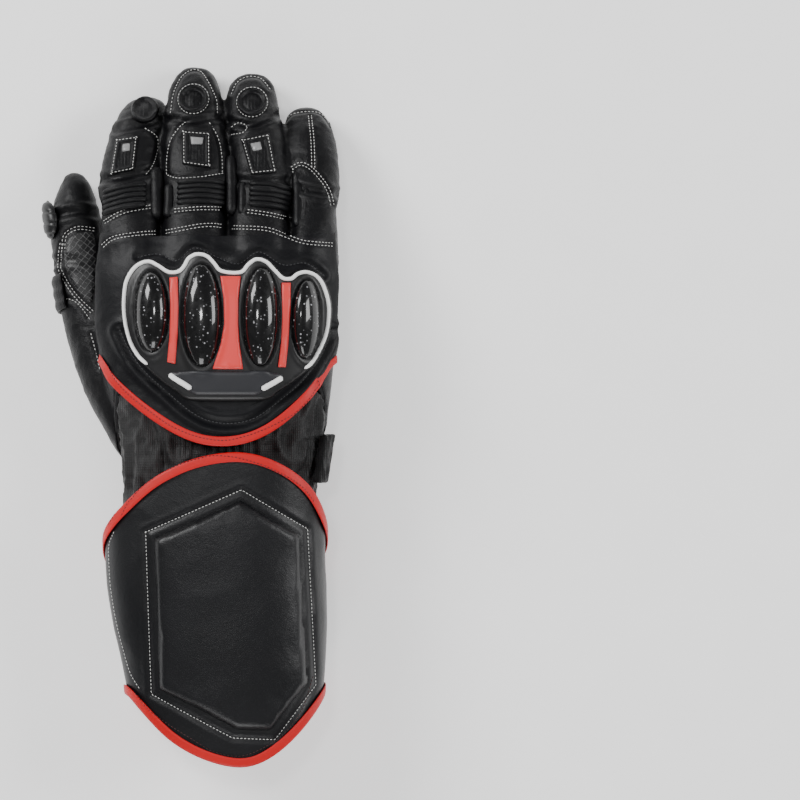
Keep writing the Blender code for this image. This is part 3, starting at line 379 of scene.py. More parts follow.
# A maths node: its inputs share one name, so they are fed in order
def mathNode(nodes, operation, *values, kind="ShaderNodeMath", result="Value"):
    node = addNode(nodes, kind, {"operation": operation})
    for socket, value in zip(node.inputs, values):
        feed(nodes, socket, value)
    return node.outputs[result]


# Textures lie in the object's own space; scale is in repeats per metre
def place(nodes, scale, stretch=(1.0, 1.0, 1.0), turn=0.0):
    where = addNode(nodes, "ShaderNodeTexCoord")
    size = tuple(scale * s for s in stretch)
    mapped = addNode(nodes, "ShaderNodeMapping", Vector=where.outputs["Object"], Scale=size,
                     Rotation=(0.0, 0.0, math.radians(turn)))
    return mapped.outputs["Vector"]


def noiseOf(nodes, scale, output="Fac", **sockets):
    return addNode(nodes, "ShaderNodeTexNoise", Vector=place(nodes, scale), Scale=1.0, **sockets).outputs[output]


def bandsOf(nodes, scale, direction, **sockets):
    wave = addNode(nodes, "ShaderNodeTexWave", {"wave_type": "BANDS", "bands_direction": direction},
                   Vector=place(nodes, scale), Scale=1.0, **sockets)
    return wave.outputs["Fac"]


def cellsOf(nodes, scale, feature, stretch=(1.0, 1.0, 1.0)):
    return addNode(nodes, "ShaderNodeTexVoronoi", {"feature": feature}, Vector=place(nodes, scale, stretch),
                   Scale=1.0, Randomness=1.0).outputs


def ramp(nodes, value, low, high, first=(0, 0, 0), last=(1, 1, 1)):
    node = addNode(nodes, "ShaderNodeValToRGB", Fac=value)
    for stop, position, colour in zip(node.color_ramp.elements, (low, high), (first, last)):
        stop.position = position
        stop.color = (*colour, 1)
    return node.outputs["Color"]


# What each material varies: colour, roughness and relief
def tinted(nodes, shader, value, low, high, first, last):
    feed(nodes, shader.inputs["Base Color"], ramp(nodes, value, low, high, first, last))


def roughened(nodes, shader, value, low, high):
    spread = addNode(nodes, "ShaderNodeMapRange", Value=value, To_Min=low, To_Max=high)
    feed(nodes, shader.inputs["Roughness"], spread.outputs["Result"])


def embossed(nodes, shader, height, strength, distance, **under):
    bump = addNode(nodes, "ShaderNodeBump", Height=height, Strength=strength, Distance=distance, **under)
    feed(nodes, shader.inputs["Normal"], bump.outputs["Normal"])
    return bump.outputs["Normal"]


def scaled(colour, factor):
    return tuple(min(1.0, c * factor) for c in colour)


# Grained leather: pebbles, fine creases and a broad change of tone and roughness
def leather(name, colour, roughness, grain=1.0, lift=1.35, gloss=0.38):
    made, nodes, shader = shaderOf(name, colour, roughness, Specular_IOR_Level=gloss)
    pores = ramp(nodes, cellsOf(nodes, 1150, "DISTANCE_TO_EDGE")["Distance"], 0.0, 0.22)
    creases = noiseOf(nodes, 260, Detail=6.0, Roughness=0.62, Distortion=0.8)
    broad = noiseOf(nodes, 38, Detail=3.0)
    pebbled = embossed(nodes, shader, pores, 0.35 * grain, 0.12 * mm)
    embossed(nodes, shader, creases, 0.55 * grain, 0.5 * mm, Normal=pebbled)
    roughened(nodes, shader, broad, roughness - 0.02, roughness + 0.07)
    tinted(nodes, shader, broad, 0.35, 0.75, colour, scaled(colour, lift))
    return made


# Stretch fabric: a fine rib knit with sheen, with painted shade in its hollows and painted light on its crests
def knit(name, colour, gloss=0.5):
    made, nodes, shader = shaderOf(name, colour, 0.58, Specular_IOR_Level=gloss, Sheen_Weight=0.08,
                                   Sheen_Roughness=0.4)
    rows = bandsOf(nodes, 330, "X", Distortion=1.2, Detail=2.0)
    loops = bandsOf(nodes, 420, "Y", Distortion=0.6, Detail=1.0)
    both = mathNode(nodes, "MULTIPLY", rows, loops)
    embossed(nodes, shader, both, 0.8, 0.25 * mm)
    # Colour follows the relief: painted shade in the hollows of the knit, painted light on its crests
    tinted(nodes, shader, both, 0.0, 1.0, scaled(colour, 0.6), scaled(colour, 1.9))
    return made


# Moulded rubber: fine matt texture with a slight change of tone
def rubber(name, colour, roughness, fleck=1.25):
    made, nodes, shader = shaderOf(name, colour, roughness)
    broad = noiseOf(nodes, 60, Detail=4.0)
    embossed(nodes, shader, noiseOf(nodes, 2300, Detail=2.0), 0.3, 0.06 * mm)
    tinted(nodes, shader, broad, 0.3, 0.7, colour, scaled(colour, fleck))
    roughened(nodes, shader, broad, roughness - 0.06, roughness + 0.08)
    return made


# Carbon under clear lacquer: black, with small pale dots painted into its colour as glints
def carbon(name, black=(0.003, 0.003, 0.0034), pale=(0.42, 0.42, 0.44)):
    made, nodes, shader = shaderOf(name, black, 0.30, Specular_IOR_Level=0.15, Coat_Weight=0.8, Coat_Roughness=0.05)
    glintCells = cellsOf(nodes, 620, "F1", (1.0, 1.0, 0.6))
    glintDots = ramp(nodes, glintCells["Distance"], 0.14, 0.30, (1, 1, 1), (0, 0, 0))
    kind = addNode(nodes, "ShaderNodeSeparateColor", Color=glintCells["Color"]).outputs
    paintedGlints = mathNode(nodes, "MULTIPLY", glintDots, ramp(nodes, kind["Red"], 0.40, 0.90))
    # The pale dots tinted in here are painted glints, not flecks lit by a lamp
    tinted(nodes, shader, paintedGlints, 0.0, 1.0, black, pale)
    embossed(nodes, shader, paintedGlints, 0.5, 0.2 * mm)
    roughened(nodes, shader, kind["Green"], 0.22, 0.42)
    return made


# Leather with a printed net of raised pale lines, bent and worn a little
def gripPrint(name, cell, turn, pale=0.42, black=(0.006, 0.006, 0.007)):
    made, nodes, shader = shaderOf(name, black, 0.45)
    warp = noiseOf(nodes, 240, "Color", Detail=1.0)
    shift = addNode(nodes, "ShaderNodeVectorMath", {"operation": "SCALE"}, Vector=warp, Scale=0.55)
    moved = mathNode(nodes, "ADD", place(nodes, 1.0 / cell, turn=turn), shift.outputs["Vector"],
                     kind="ShaderNodeVectorMath", result="Vector")
    parts = addNode(nodes, "ShaderNodeSeparateXYZ", Vector=moved).outputs
    lines = [ramp(nodes, mathNode(nodes, "PINGPONG", parts[axis], 0.5), 0.055, 0.10, (1, 1, 1), (0, 0, 0))
             for axis in "XY"]
    net = mathNode(nodes, "MAXIMUM", *lines)
    worn = ramp(nodes, noiseOf(nodes, 900, Detail=2.0), 0.30, 0.62)
    tinted(nodes, shader, mathNode(nodes, "MULTIPLY", net, worn), 0.0, 1.0, black, (pale, pale, pale))
    embossed(nodes, shader, net, 0.9, 0.35 * mm)
    return made


def thread(name, colour):
    made, nodes, shader = shaderOf(name, colour, 0.6, Sheen_Weight=0.2)
    twist = bandsOf(nodes, 1500, "DIAGONAL", Distortion=0.5)
    embossed(nodes, shader, twist, 0.6, 0.08 * mm)
    # Colour follows the twist relief: painted shade in the grooves of the twist
    tinted(nodes, shader, twist, 0.0, 0.6, scaled(colour, 0.7), colour)
    return made


print("materials")
blackLeather = leather("blackLeather", (0.0030, 0.0030, 0.0037), 0.38, gloss=0.23)
softLeather = leather("softLeather", (0.0032, 0.0032, 0.0039), 0.42, grain=1.2, gloss=0.23)
smoothLeather = leather("smoothLeather", (0.0034, 0.0036, 0.0046), 0.37, grain=0.55)
backLeather = leather("backLeather", (0.0030, 0.0031, 0.0041), 0.41, grain=0.6, gloss=0.22)
redLeather = leather("redLeather", (0.52, 0.0030, 0.0045), 0.45, grain=0.6, lift=1.08)
stretchKnit = knit("stretchKnit", (0.0042, 0.0042, 0.0046))
webbing = knit("webbing", (0.0030, 0.0030, 0.0034), gloss=0.12)
blackRubber = rubber("blackRubber", (0.0050, 0.0050, 0.0056), 0.42)
greyRubber = rubber("greyRubber", (0.0165, 0.0170, 0.0205), 0.44)
redRubber = rubber("redRubber", (0.72, 0.042, 0.038), 0.42, fleck=1.05)
whiteRubber = rubber("whiteRubber", (0.95, 0.95, 0.94), 0.40, fleck=1.03)
chipPlastic = rubber("chipPlastic", (0.20, 0.20, 0.20), 0.22, fleck=1.5)
glossCarbon = carbon("glossCarbon")
palmPrint = gripPrint("palmPrint", 3.0 * mm, 4)
thumbPrint = gripPrint("thumbPrint", 2.3 * mm, 38, pale=0.13)
whiteThread = thread("whiteThread", (0.78, 0.78, 0.76))
redThread = thread("redThread", (0.055, 0.001, 0.001))
greyThread = thread("greyThread", (0.045, 0.045, 0.050))


# Geometry node trees: each takes lines and gives a dressed mesh

def nodeTree(name, sizes, pitch):
    made = bpy.data.node_groups.new(name, "GeometryNodeTree")
    made.interface.new_socket("Lines", in_out="INPUT", socket_type="NodeSocketGeometry")
    for label, value in sizes.items():
        made.interface.new_socket(label, in_out="INPUT", socket_type="NodeSocketFloat").default_value = value
    made.interface.new_socket("Finish", in_out="INPUT", socket_type="NodeSocketMaterial")
    made.interface.new_socket("Result", in_out="OUTPUT", socket_type="NodeSocketGeometry")
    given = made.nodes.new("NodeGroupInput").outputs
    line = addNode(made, "GeometryNodeMeshToCurve", Mesh=given["Lines"])
    even = addNode(made, "GeometryNodeResampleCurve", {"mode": "LENGTH"}, Curve=line.outputs["Curve"],
                   Length=given[pitch])
    return made, given, even.outputs["Curve"]


def ended(nodes, given, shape):
    real = addNode(nodes, "GeometryNodeRealizeInstances", Geometry=shape)
    dressed = addNode(nodes, "GeometryNodeSetMaterial", Geometry=real.outputs["Geometry"], Material=given["Finish"])
    addNode(nodes, "NodeGroupOutput", Result=dressed.outputs["Geometry"])
    return nodes


# One stitch repeated along each line, turned to the line and to the surface's own "up"
stitchSizes = {"Pitch": 1.7 * mm, "Length": 1.2 * mm, "Width": 0.40 * mm, "Height": 0.32 * mm}


def stitchTree():
    nodes, given, even = nodeTree("stitchRow", stitchSizes, "Pitch")
    ahead = addNode(nodes, "GeometryNodeInputTangent")
    up = addNode(nodes, "GeometryNodeInputNamedAttribute", {"data_type": "FLOAT_VECTOR"}, Name="up")
    first = addNode(nodes, "FunctionNodeAlignRotationToVector", {"axis": "X"}, Vector=ahead.outputs["Tangent"])
    second = addNode(nodes, "FunctionNodeAlignRotationToVector", {"axis": "Z", "pivot_axis": "X"},
                     Rotation=first.outputs["Rotation"], Vector=up.outputs["Attribute"])
    bead = addNode(nodes, "GeometryNodeMeshUVSphere", Segments=6, Rings=4, Radius=0.5)
    size = addNode(nodes, "ShaderNodeCombineXYZ", X=given["Length"], Y=given["Width"], Z=given["Height"])
    rows = addNode(nodes, "GeometryNodeInstanceOnPoints", Points=even, Instance=bead.outputs["Mesh"],
                   Rotation=second.outputs["Rotation"], Scale=size.outputs["Vector"])
    return ended(nodes, given, rows.outputs["Instances"])


# A round roll swept along each line; a low Taper rounds its ends, and Open 0 leaves them full
rollSizes = {"Radius": 1.6 * mm, "Step": 0.9 * mm, "Taper": 8.0, "Open": 1.0}


def rollTree():
    nodes, given, even = nodeTree("rollSweep", rollSizes, "Step")

    def less(first, second):
        return mathNode(nodes, "SUBTRACT", first, second)
    share = addNode(nodes, "GeometryNodeSplineParameter").outputs["Factor"]
    out = mathNode(nodes, "ABSOLUTE", less(mathNode(nodes, "MULTIPLY", share, 2.0), 1.0))
    fall = mathNode(nodes, "SQRT", less(1.0, mathNode(nodes, "POWER", out, given["Taper"])))
    loss = mathNode(nodes, "MULTIPLY", less(1.0, fall), given["Open"])
    size = mathNode(nodes, "MAXIMUM", less(1.0, loss), 0.02)
    sized = addNode(nodes, "GeometryNodeSetCurveRadius", Curve=even, Radius=size)
    ring = addNode(nodes, "GeometryNodeCurvePrimitiveCircle", Resolution=12, Radius=given["Radius"])
    swept = addNode(nodes, "GeometryNodeCurveToMesh", Curve=sized.outputs["Curve"], Scale=size,
                    Profile_Curve=ring.outputs["Curve"], Fill_Caps=True)
    soft = addNode(nodes, "GeometryNodeSetShadeSmooth", Geometry=swept.outputs["Mesh"])
    return ended(nodes, given, soft.outputs["Geometry"])


trees = {"stitch": stitchTree(), "roll": rollTree()}


# Runs a tree over lines of (places, ups, closed) and gives its plain mesh
def grown(name, kind, lines, material, **sizes):
    spots, edges, ups = [], [], []
    for places, way, closed in lines:
        start = len(spots)
        spots += [tuple(p) for p in places]
        ups += [tuple(w) for w in way]
        edges += [(start + i, start + i + 1) for i in range(len(places) - 1)]
        if closed:
            edges.append((start + len(places) - 1, start))
    made = newObject(name, spots, [], edges)
    made.data.attributes.new("up", "FLOAT_VECTOR", "POINT").data.foreach_set("vector", np.ravel(ups))
    step = made.modifiers.new("grow", "NODES")
    step.node_group = trees[kind]
    sockets = {item.name: item.identifier for item in trees[kind].interface.items_tree if item.in_out == "INPUT"}
    for label, value in sizes.items():
        step[sockets[label]] = value
    step[sockets["Finish"]] = material
    return applied(made)


# A line laid on what carries it
def laid(line, carrier, face, lift):
    places, ways = [], []
    for x, y in line:
        spot, way = land(carrier, x, y, face)
        places.append(spot + way * lift)
        ways.append(way)
    return places, ways, False


sewing = {"apart": 1.5 * mm, "lift": 0.08 * mm, "drop": 1.3 * mm, "fewest": 3}


# A row ends and starts again where the surface under it drops away
def sew(line, carrier, face, rows=1, colour="white", closed=False):
    for shift in [0.0] if rows == 1 else [-sewing["apart"] / 2, sewing["apart"] / 2]:
        moved = sideways(np.asarray(line), shift, closed) if shift else np.asarray(line)
        if closed:
            moved = np.vstack([moved, moved[:1]])
        places, ways, _ = laid(moved, carrier, face, sewing["lift"])
        start = 0
        for i in range(1, len(places) + 1):
            if i == len(places) or abs(places[i].z - places[i - 1].z) > sewing["drop"]:
                if i - start > sewing["fewest"]:
                    threads[colour].append((places[start:i], ways[start:i], False))
                start = i


print("hand and finger leather")

# Seams of the back of the fingers and thumb, pixels of the back view: (spots, rows of thread)
fingerSeams = [
    ([(172, 88), (177, 76), (184, 68), (192, 65), (199, 68), (206, 78), (211, 88), (215, 98), (216, 110)], 1),
    ([(172, 88), (170, 98), (169, 110)], 1),
    ([(230, 90), (234, 80), (241, 74), (251, 72), (260, 75), (268, 85)], 1),
    ([(283, 119), (290, 111), (305, 108), (320, 110), (330, 123)], 1),
    ([(309, 113), (312, 140), (313, 166)], 2),
    ([(292, 167), (300, 163), (310, 167), (322, 180), (329, 192), (332, 204)], 2),
    ([(292, 168), (294, 178), (298, 188)], 1),
    ([(184, 121), (176, 129), (169, 141), (166, 158), (166, 173)], 1),
    ([(209, 122), (217, 136), (221, 153), (222, 171)], 1),
    ([(168, 175), (178, 178), (200, 177), (222, 173)], 1),
    ([(144, 127), (156, 137), (153, 161), (146, 173)], 1),
    ([(231, 133), (243, 131), (246, 125), (238, 121), (231, 125)], 1),
    ([(105, 222), (125, 212), (150, 207)], 2),
    ([(176, 211), (200, 209), (226, 209)], 2),
    ([(249, 212), (270, 215), (290, 219)], 2),
]
thumbSeams = [
    ([(61, 247), (63, 234), (75, 227), (91, 228)], 2),
    ([(59, 243), (57, 257), (58, 270), (72, 293), (90, 311)], 2),
    ([(52, 302), (64, 298), (76, 303), (88, 318)], 1),
    ([(90, 334), (95, 352), (99, 368)], 1),
]
# Seams and creases of the palm, pixels of the palm view
palmSeams = [
    ([(404, 168), (418, 178), (435, 189), (443, 205), (441, 220), (424, 234), (436, 243), (451, 252), (457, 268),
      (452, 285), (441, 299), (436, 311), (438, 335), (446, 368), (462, 391), (490, 401), (522, 397), (560, 383),
      (590, 373), (610, 387), (624, 408), (621, 434), (606, 454), (594, 466)], 2),
    ([(589, 336), (566, 352), (546, 371), (538, 386)], 1),
    ([(430, 514), (434, 534), (440, 552)], 1),
    ([(458, 511), (462, 535), (469, 557)], 1),
    ([(492, 511), (496, 535), (502, 558)], 1),
    ([(534, 515), (537, 536), (541, 558)], 1),
]
palmCreases = [
    [(468, 150), (488, 153), (512, 152), (522, 148)], [(532, 148), (540, 150)], [(574, 152), (586, 148)],
    [(468, 205), (490, 208), (518, 204)], [(406, 190), (424, 196), (456, 192)], [(530, 204), (542, 206)],
    [(480, 268), (486, 300), (492, 330)], [(534, 258), (537, 276)], [(591, 256), (593, 272)],
    [(476, 262), (500, 268), (528, 262)], [(538, 262), (562, 268), (590, 262)], [(404, 262), (430, 268), (470, 262)],
]
skin = {  # rootReach lengthens fingers into the hand; fade is where fitWidth lets go, in pixel rows
    "voxel": 1.22 * mm, "rootReach": 3.0 * mm, "inset": -0.15 * mm, "nearest": 130, "growLimits": (0.75, 1.35),
    "fingerFade": (190, 215), "thumbFade": (215, 262), "seamDepth": 0.75 * mm, "seamWidth": 0.9 * mm,
    "backLevel": 12 * mm, "palmLevel": 40 * mm, "creaseDepth": 0.8 * mm, "creaseWidth": 1.3 * mm,
    "foldDepth": 1.1 * mm, "foldWidth": 1.5 * mm,
}
# Left and right edge of each finger and the thumb, by pixel row of the back view
sideEdges = {
    "index_finger": {92: (132, 154), 98: (124, 161), 110: (115, 163), 134: (107, 160), 158: (100, 158),
                     190: (97, 160)},
    "middle_finger": {62: (179, 204), 70: (174, 211), 86: (166, 218), 98: (165, 220), 134: (162, 224),
                      158: (162, 229), 190: (163, 228)},
    "ring_finger": {69: (236, 264), 76: (230, 269), 86: (226, 273), 98: (224, 276), 110: (224, 278),
                    134: (227, 283), 158: (231, 288), 190: (232, 289)},
    "little_finger": {104: (294, 316), 110: (287, 322), 120: (283, 329), 134: (281, 334), 158: (284, 338),
                      190: (286, 339)},
    "thumb": {168: (63, 75), 174: (59, 81), 182: (56, 86), 198: (50, 92), 214: (47, 97), 240: (46, 104)},
}


# Moves the sides of a finger to the photo's edges, with less effect from pixel row fadeStart to fadeEnd
def fitWidth(part, edges, fadeStart, fadeEnd):
    places = points(part)
    rows = photo["backZero"][1] - places[:, 1] / photo["scale"]
    grid = np.arange(rows.min(), rows.max(), 2.0)
    near = [places[np.argsort(np.abs(rows - row))[:skin["nearest"]], 0] for row in grid]
    share = 1.0 - smoothStep((rows - fadeStart) / (fadeEnd - fadeStart))
    known = sorted(edges)
    now, wanted = [], []
    for side, outermost in enumerate((np.min, np.max)):
        now.append(np.interp(rows, grid, [outermost(n) for n in near]))
        edge = (np.interp(rows, known, [edges[k][side] for k in known]) - photo["backZero"][0]) * photo["scale"]
        wanted.append(now[side] + (edge + skin["inset"] * (1 - 2 * side) - now[side]) * share)
    grow = np.clip((wanted[1] - wanted[0]) / np.maximum(now[1] - now[0], 1 * mm), *skin["growLimits"])
    places[:, 0] = (wanted[0] + wanted[1]) / 2 + (places[:, 0] - (now[0] + now[1]) / 2) * grow
    moveTo(part, places)


def buildSkin():
    parts = []
    for node in ["hand_shell", "thumb"] + fingerNodes:
        part = cadCopy(node)
        if node in fingerNodes:
            places = points(part)
            places[places[:, 1] < places[:, 1].min() + 0.1 * mm, 1] -= skin["rootReach"]
            moveTo(part, places)
        subdivided(part, 2)
        if node in fingerNodes:
            fitWidth(part, sideEdges[node], *skin["fingerFade"])
        if node == "thumb":
            fitWidth(part, sideEdges[node], *skin["thumbFade"])
        parts.append(part)
    return relaxed(remeshed(joined("hand_leather", parts), skin["voxel"]), 0.5, 4)


handLeather = buildSkin()


def jointFolds(x, y, z):
    bands = ((120, 9), (150, 8), (205, 10), (262, 14))  # pixel rows of the finger joints and their reach
    row = photo["backZero"][1] - y / photo["scale"]
    return sum(math.exp(-((row - middle) / reach) ** 2) for middle, reach in bands)


skinFolds = [  # height, size of a fold along each axis, seed, where
    (0.30 * mm, (0.016, 0.013, 0.014), 3.1, None),
    (0.42 * mm, (0.010, 0.0032, 0.008), 7.7, jointFolds),
    (0.16 * mm, (0.0045, 0.0040, 0.0045), 11.3, None),
]
for folds in skinFolds:
    wrinkle(handLeather, *folds)
backLines = [backLine(spots) for spots, _ in fingerSeams + thumbSeams]
palmLines = [palmLine(spots) for spots, _ in palmSeams]
creaseLines = [palmLine(spots) for spots in palmCreases]
backCreases = [  # folds across the finger joints
    [(114, 129), (134, 124), (152, 121)], [(167, 117), (192, 120), (219, 116)], [(226, 119), (250, 123), (276, 113)],
    [(99, 180), (124, 176), (150, 171)], [(232, 179), (262, 182), (288, 180)], [(290, 186), (312, 190), (336, 194)],
    [(54, 214), (74, 210), (93, 213)], [(50, 262), (66, 259), (92, 262)],
]
press(handLeather, backLines, 1, skin["seamDepth"], skin["seamWidth"], level=skin["backLevel"])
press(handLeather, [backLine(spots) for spots in backCreases], 1, skin["foldDepth"], skin["foldWidth"], swell=0.6,
      level=skin["backLevel"])
press(handLeather, palmLines, -1, skin["seamDepth"], skin["seamWidth"], level=skin["palmLevel"])
press(handLeather, creaseLines, -1, skin["creaseDepth"], skin["creaseWidth"], level=skin["palmLevel"])
finish(handLeather, blackLeather, "black_leather", "hand_shell", "thumb", *fingerNodes)
handTree = tree(handLeather)


print("back panel and its hem")
backSeams = [
    ([(104, 246), (112, 240), (122, 237), (145, 234), (170, 232), (207, 226), (235, 228), (267, 230), (285, 236),
      (305, 243), (332, 245)], 2),
]
guardRecess = [(122, 331), (131, 350), (145, 370), (168, 391), (192, 411), (212, 421), (236, 423), (258, 417),
               (280, 401), (304, 380), (322, 355), (332, 330)]
# Each press is a depth, a width and a swell; hem says how its corners are drawn in, front how the panel lies down
backPress = {"seam": (0.4 * mm, 0.9 * mm), "recess": (1.3 * mm, 1.7 * mm, 0.8), "brow": (0.9 * mm, 1.4 * mm, 0.6)}
hem = {"corners": [(94, 357), (336, 376)], "reach": 16 * mm, "panelGap": 1.2 * mm, "trimGap": 1.8 * mm, "pull": 0.85}
front = {"length": 22 * mm, "blend": 15 * mm, "top": 1.3 * mm, "under": 0.05 * mm, "layer": 0.7 * mm}
guardBrow = [(140, 258), (160, 255), (178, 262), (196, 249), (220, 259), (240, 265), (260, 253), (284, 266),
             (306, 264), (324, 276)]


# Draws the lower corners of the panel and its hem in to the sides of the hand
def tuck(piece, gap):
    places = points(piece)
    for corner in fromBack(hem["corners"]):
        near = np.hypot(places[:, 0] - corner[0], places[:, 1] - corner[1])
        for i in np.where(near < hem["reach"])[0]:
            ground, way, _, _ = handTree.find_nearest(Vector(places[i]))
            far = (Vector(places[i]) - ground).length
            if far > gap:
                share = float(smoothStep(1.0 - near[i] / hem["reach"]))
                places[i] += np.array((ground + way * gap) - Vector(places[i])) * share * hem["pull"]
    moveTo(piece, places)


# The panel's front lies down on the fingers' leather
def buildBackPanel():
    made = subdivided(cadCopy("back_panel"), 3)
    places = points(made)
    start = places[:, 1].max() - front["length"]
    own = tree(made)
    for i in np.where(places[:, 1] > start)[0]:
        spot = Vector(places[i])
        onTop = land(own, spot.x, spot.y - 0.05 * mm, 1)[0].z - spot.z < front["layer"]
        ground, way, _, _ = handTree.find_nearest(spot)
        share = float(smoothStep((spot.y - start) / front["blend"]))
        places[i] = spot.lerp(ground + way * front["top" if onTop else "under"], share)
    moveTo(made, places)
    tuck(made, hem["panelGap"])
    return relaxed(made, 0.5, 10)


backPanel = buildBackPanel()
wrinkle(backPanel, 0.16 * mm, (0.016, 0.011, 0.016), 5.3)
wrinkle(backPanel, 0.10 * mm, (0.005, 0.004, 0.005), 9.1)
press(backPanel, [backLine(spots) for spots, _ in backSeams], 1, *backPress["seam"])
press(backPanel, [backLine(guardRecess)], 1, *backPress["recess"])
press(backPanel, [backLine(guardBrow)], 1, *backPress["brow"])
finish(backPanel, backLeather, "black_leather", "back_panel")
backTree = tree(backPanel)
bodyTree = tree(handLeather, backPanel)
for spots in (guardRecess, guardBrow):
    sew(backLine(spots), backTree, 1, colour="grey")


def boundEdge(node):
    made = relaxed(subdivided(cadCopy(node), 2), 0.5, 3)
    if node == "back_panel_binding":
        tuck(made, hem["trimGap"])
    return finish(made, redLeather, "red_leather", node)


hemSeam = [(109, 366), (118, 381), (131, 395), (151, 410.5), (173, 425.5), (199, 436), (225, 440), (246, 436),
           (266, 429), (287, 418.5), (306, 407), (323, 392), (333, 379)]
sew(backLine(hemSeam), tree(boundEdge("back_panel_binding"), backPanel), 1, colour="red")
welt = {"centre": (13 * mm, 31 * mm), "rows": (-60 * mm, 30 * mm, 0.7 * mm), "turns": 72, "radius": 1.25 * mm}


# A rolled edge round the hand leather where it meets the wrist
def wristWelt():
    rim = []
    x, z = welt["centre"]
    for turn in np.linspace(0, 2 * math.pi, welt["turns"], endpoint=False):
        out = Vector((math.cos(turn), 0.0, math.sin(turn)))
        for y in np.arange(*welt["rows"]):
            start = Vector((x, y, z)) + out * 0.15
            hit = handTree.ray_cast(start, -out, 0.16)[0]
            if hit is not None:
                rim.append(tuple(hit - out * 0.5 * mm))
                break
    rim = np.array(rim)
    for _ in range(3):
        rim = (np.roll(rim, 1, axis=0) + rim * 2 + np.roll(rim, -1, axis=0)) / 4
    return grown("wrist_welt", "roll", [(rim, np.zeros_like(rim) + (0, 0, 1), True)], softLeather,
                 Radius=welt["radius"], Step=1.2 * mm, Taper=90.0, Open=0.0)


finish(wristWelt(), softLeather, "black_leather")

print("knuckle protector")
guard = {  # swell is a rise and its reach; wedge a rise, length and slope
    "seat": 0.3 * mm, "base": 3.2 * mm, "grow": 1.7 * mm, "lip": 1.1 * mm, "swell": (0.9 * mm, 14 * mm),
    "domeRise": 6.2 * mm, "domePower": 2.3, "socketGap": 1.3 * mm, "rim": 0.9 * mm, "inlayRise": 1.3 * mm,
    "wedge": (1.1 * mm, 4.6 * mm, 0.75), "plateRise": 0.7 * mm, "line": 0.88 * mm, "dash": 1.25 * mm,
}
guardLine = [(150.5, 365), (141, 356), (132.5, 340), (127.5, 318), (127, 297), (130, 280), (138.8, 267.5),
             (150.5, 263), (160, 267), (171, 273.5), (181, 273), (187, 267), (191, 260), (199, 256), (208.8, 258),
             (216, 265), (222, 272), (234, 274.3), (244, 273), (250, 266), (258, 261), (267.5, 263.5), (275, 271),
             (284, 279.5), (292.5, 280), (299, 275), (309, 273.8), (318.8, 279), (325, 290), (328.8, 307.5),
             (327, 330), (321, 347.5), (312.5, 362.5), (305, 368.8)]
guardFoot = [(290, 381), (276, 390), (262, 397), (196, 397), (182, 390), (166, 379)]
plateOutline = [(171, 373), (191, 371), (213, 371.5), (246, 371.5), (266, 371), (285, 375), (266, 391),
                (258, 395.5), (199, 395.5), (190, 391)]
domeOutlines = {  # centre and half sizes in pixels, turn in degrees
    "knuckle_dome_index": ((154, 312.5), (16.4, 40.0), 2),
    "knuckle_dome_middle": ((204.0, 316), (19.2, 51.0), 2),
    "knuckle_dome_ring": ((263, 317.5), (17.4, 49.0), -2),
    "knuckle_dome_little": ((307.3, 320), (13.6, 39.4), -3),
}
inlayOutlines = {
    "knuckle_inlay_left": [(172, 279), (180.3, 278), (181.3, 310), (180.5, 335), (178, 364.5), (170, 362.5),
                           (172.6, 335), (173.2, 305)],
    "knuckle_inlay_middle": [(222.5, 277.5), (242.5, 277.5), (240.3, 300), (240.2, 325), (241.5, 345), (245, 369.5),
                             (215, 369.5), (223, 345), (226.6, 325), (226.0, 300)],
    "knuckle_inlay_right": [(283, 284), (292, 284), (291.6, 312), (289.5, 345), (287, 367.5), (279.5, 367.5),
                            (282.8, 342), (283.8, 315)],
}


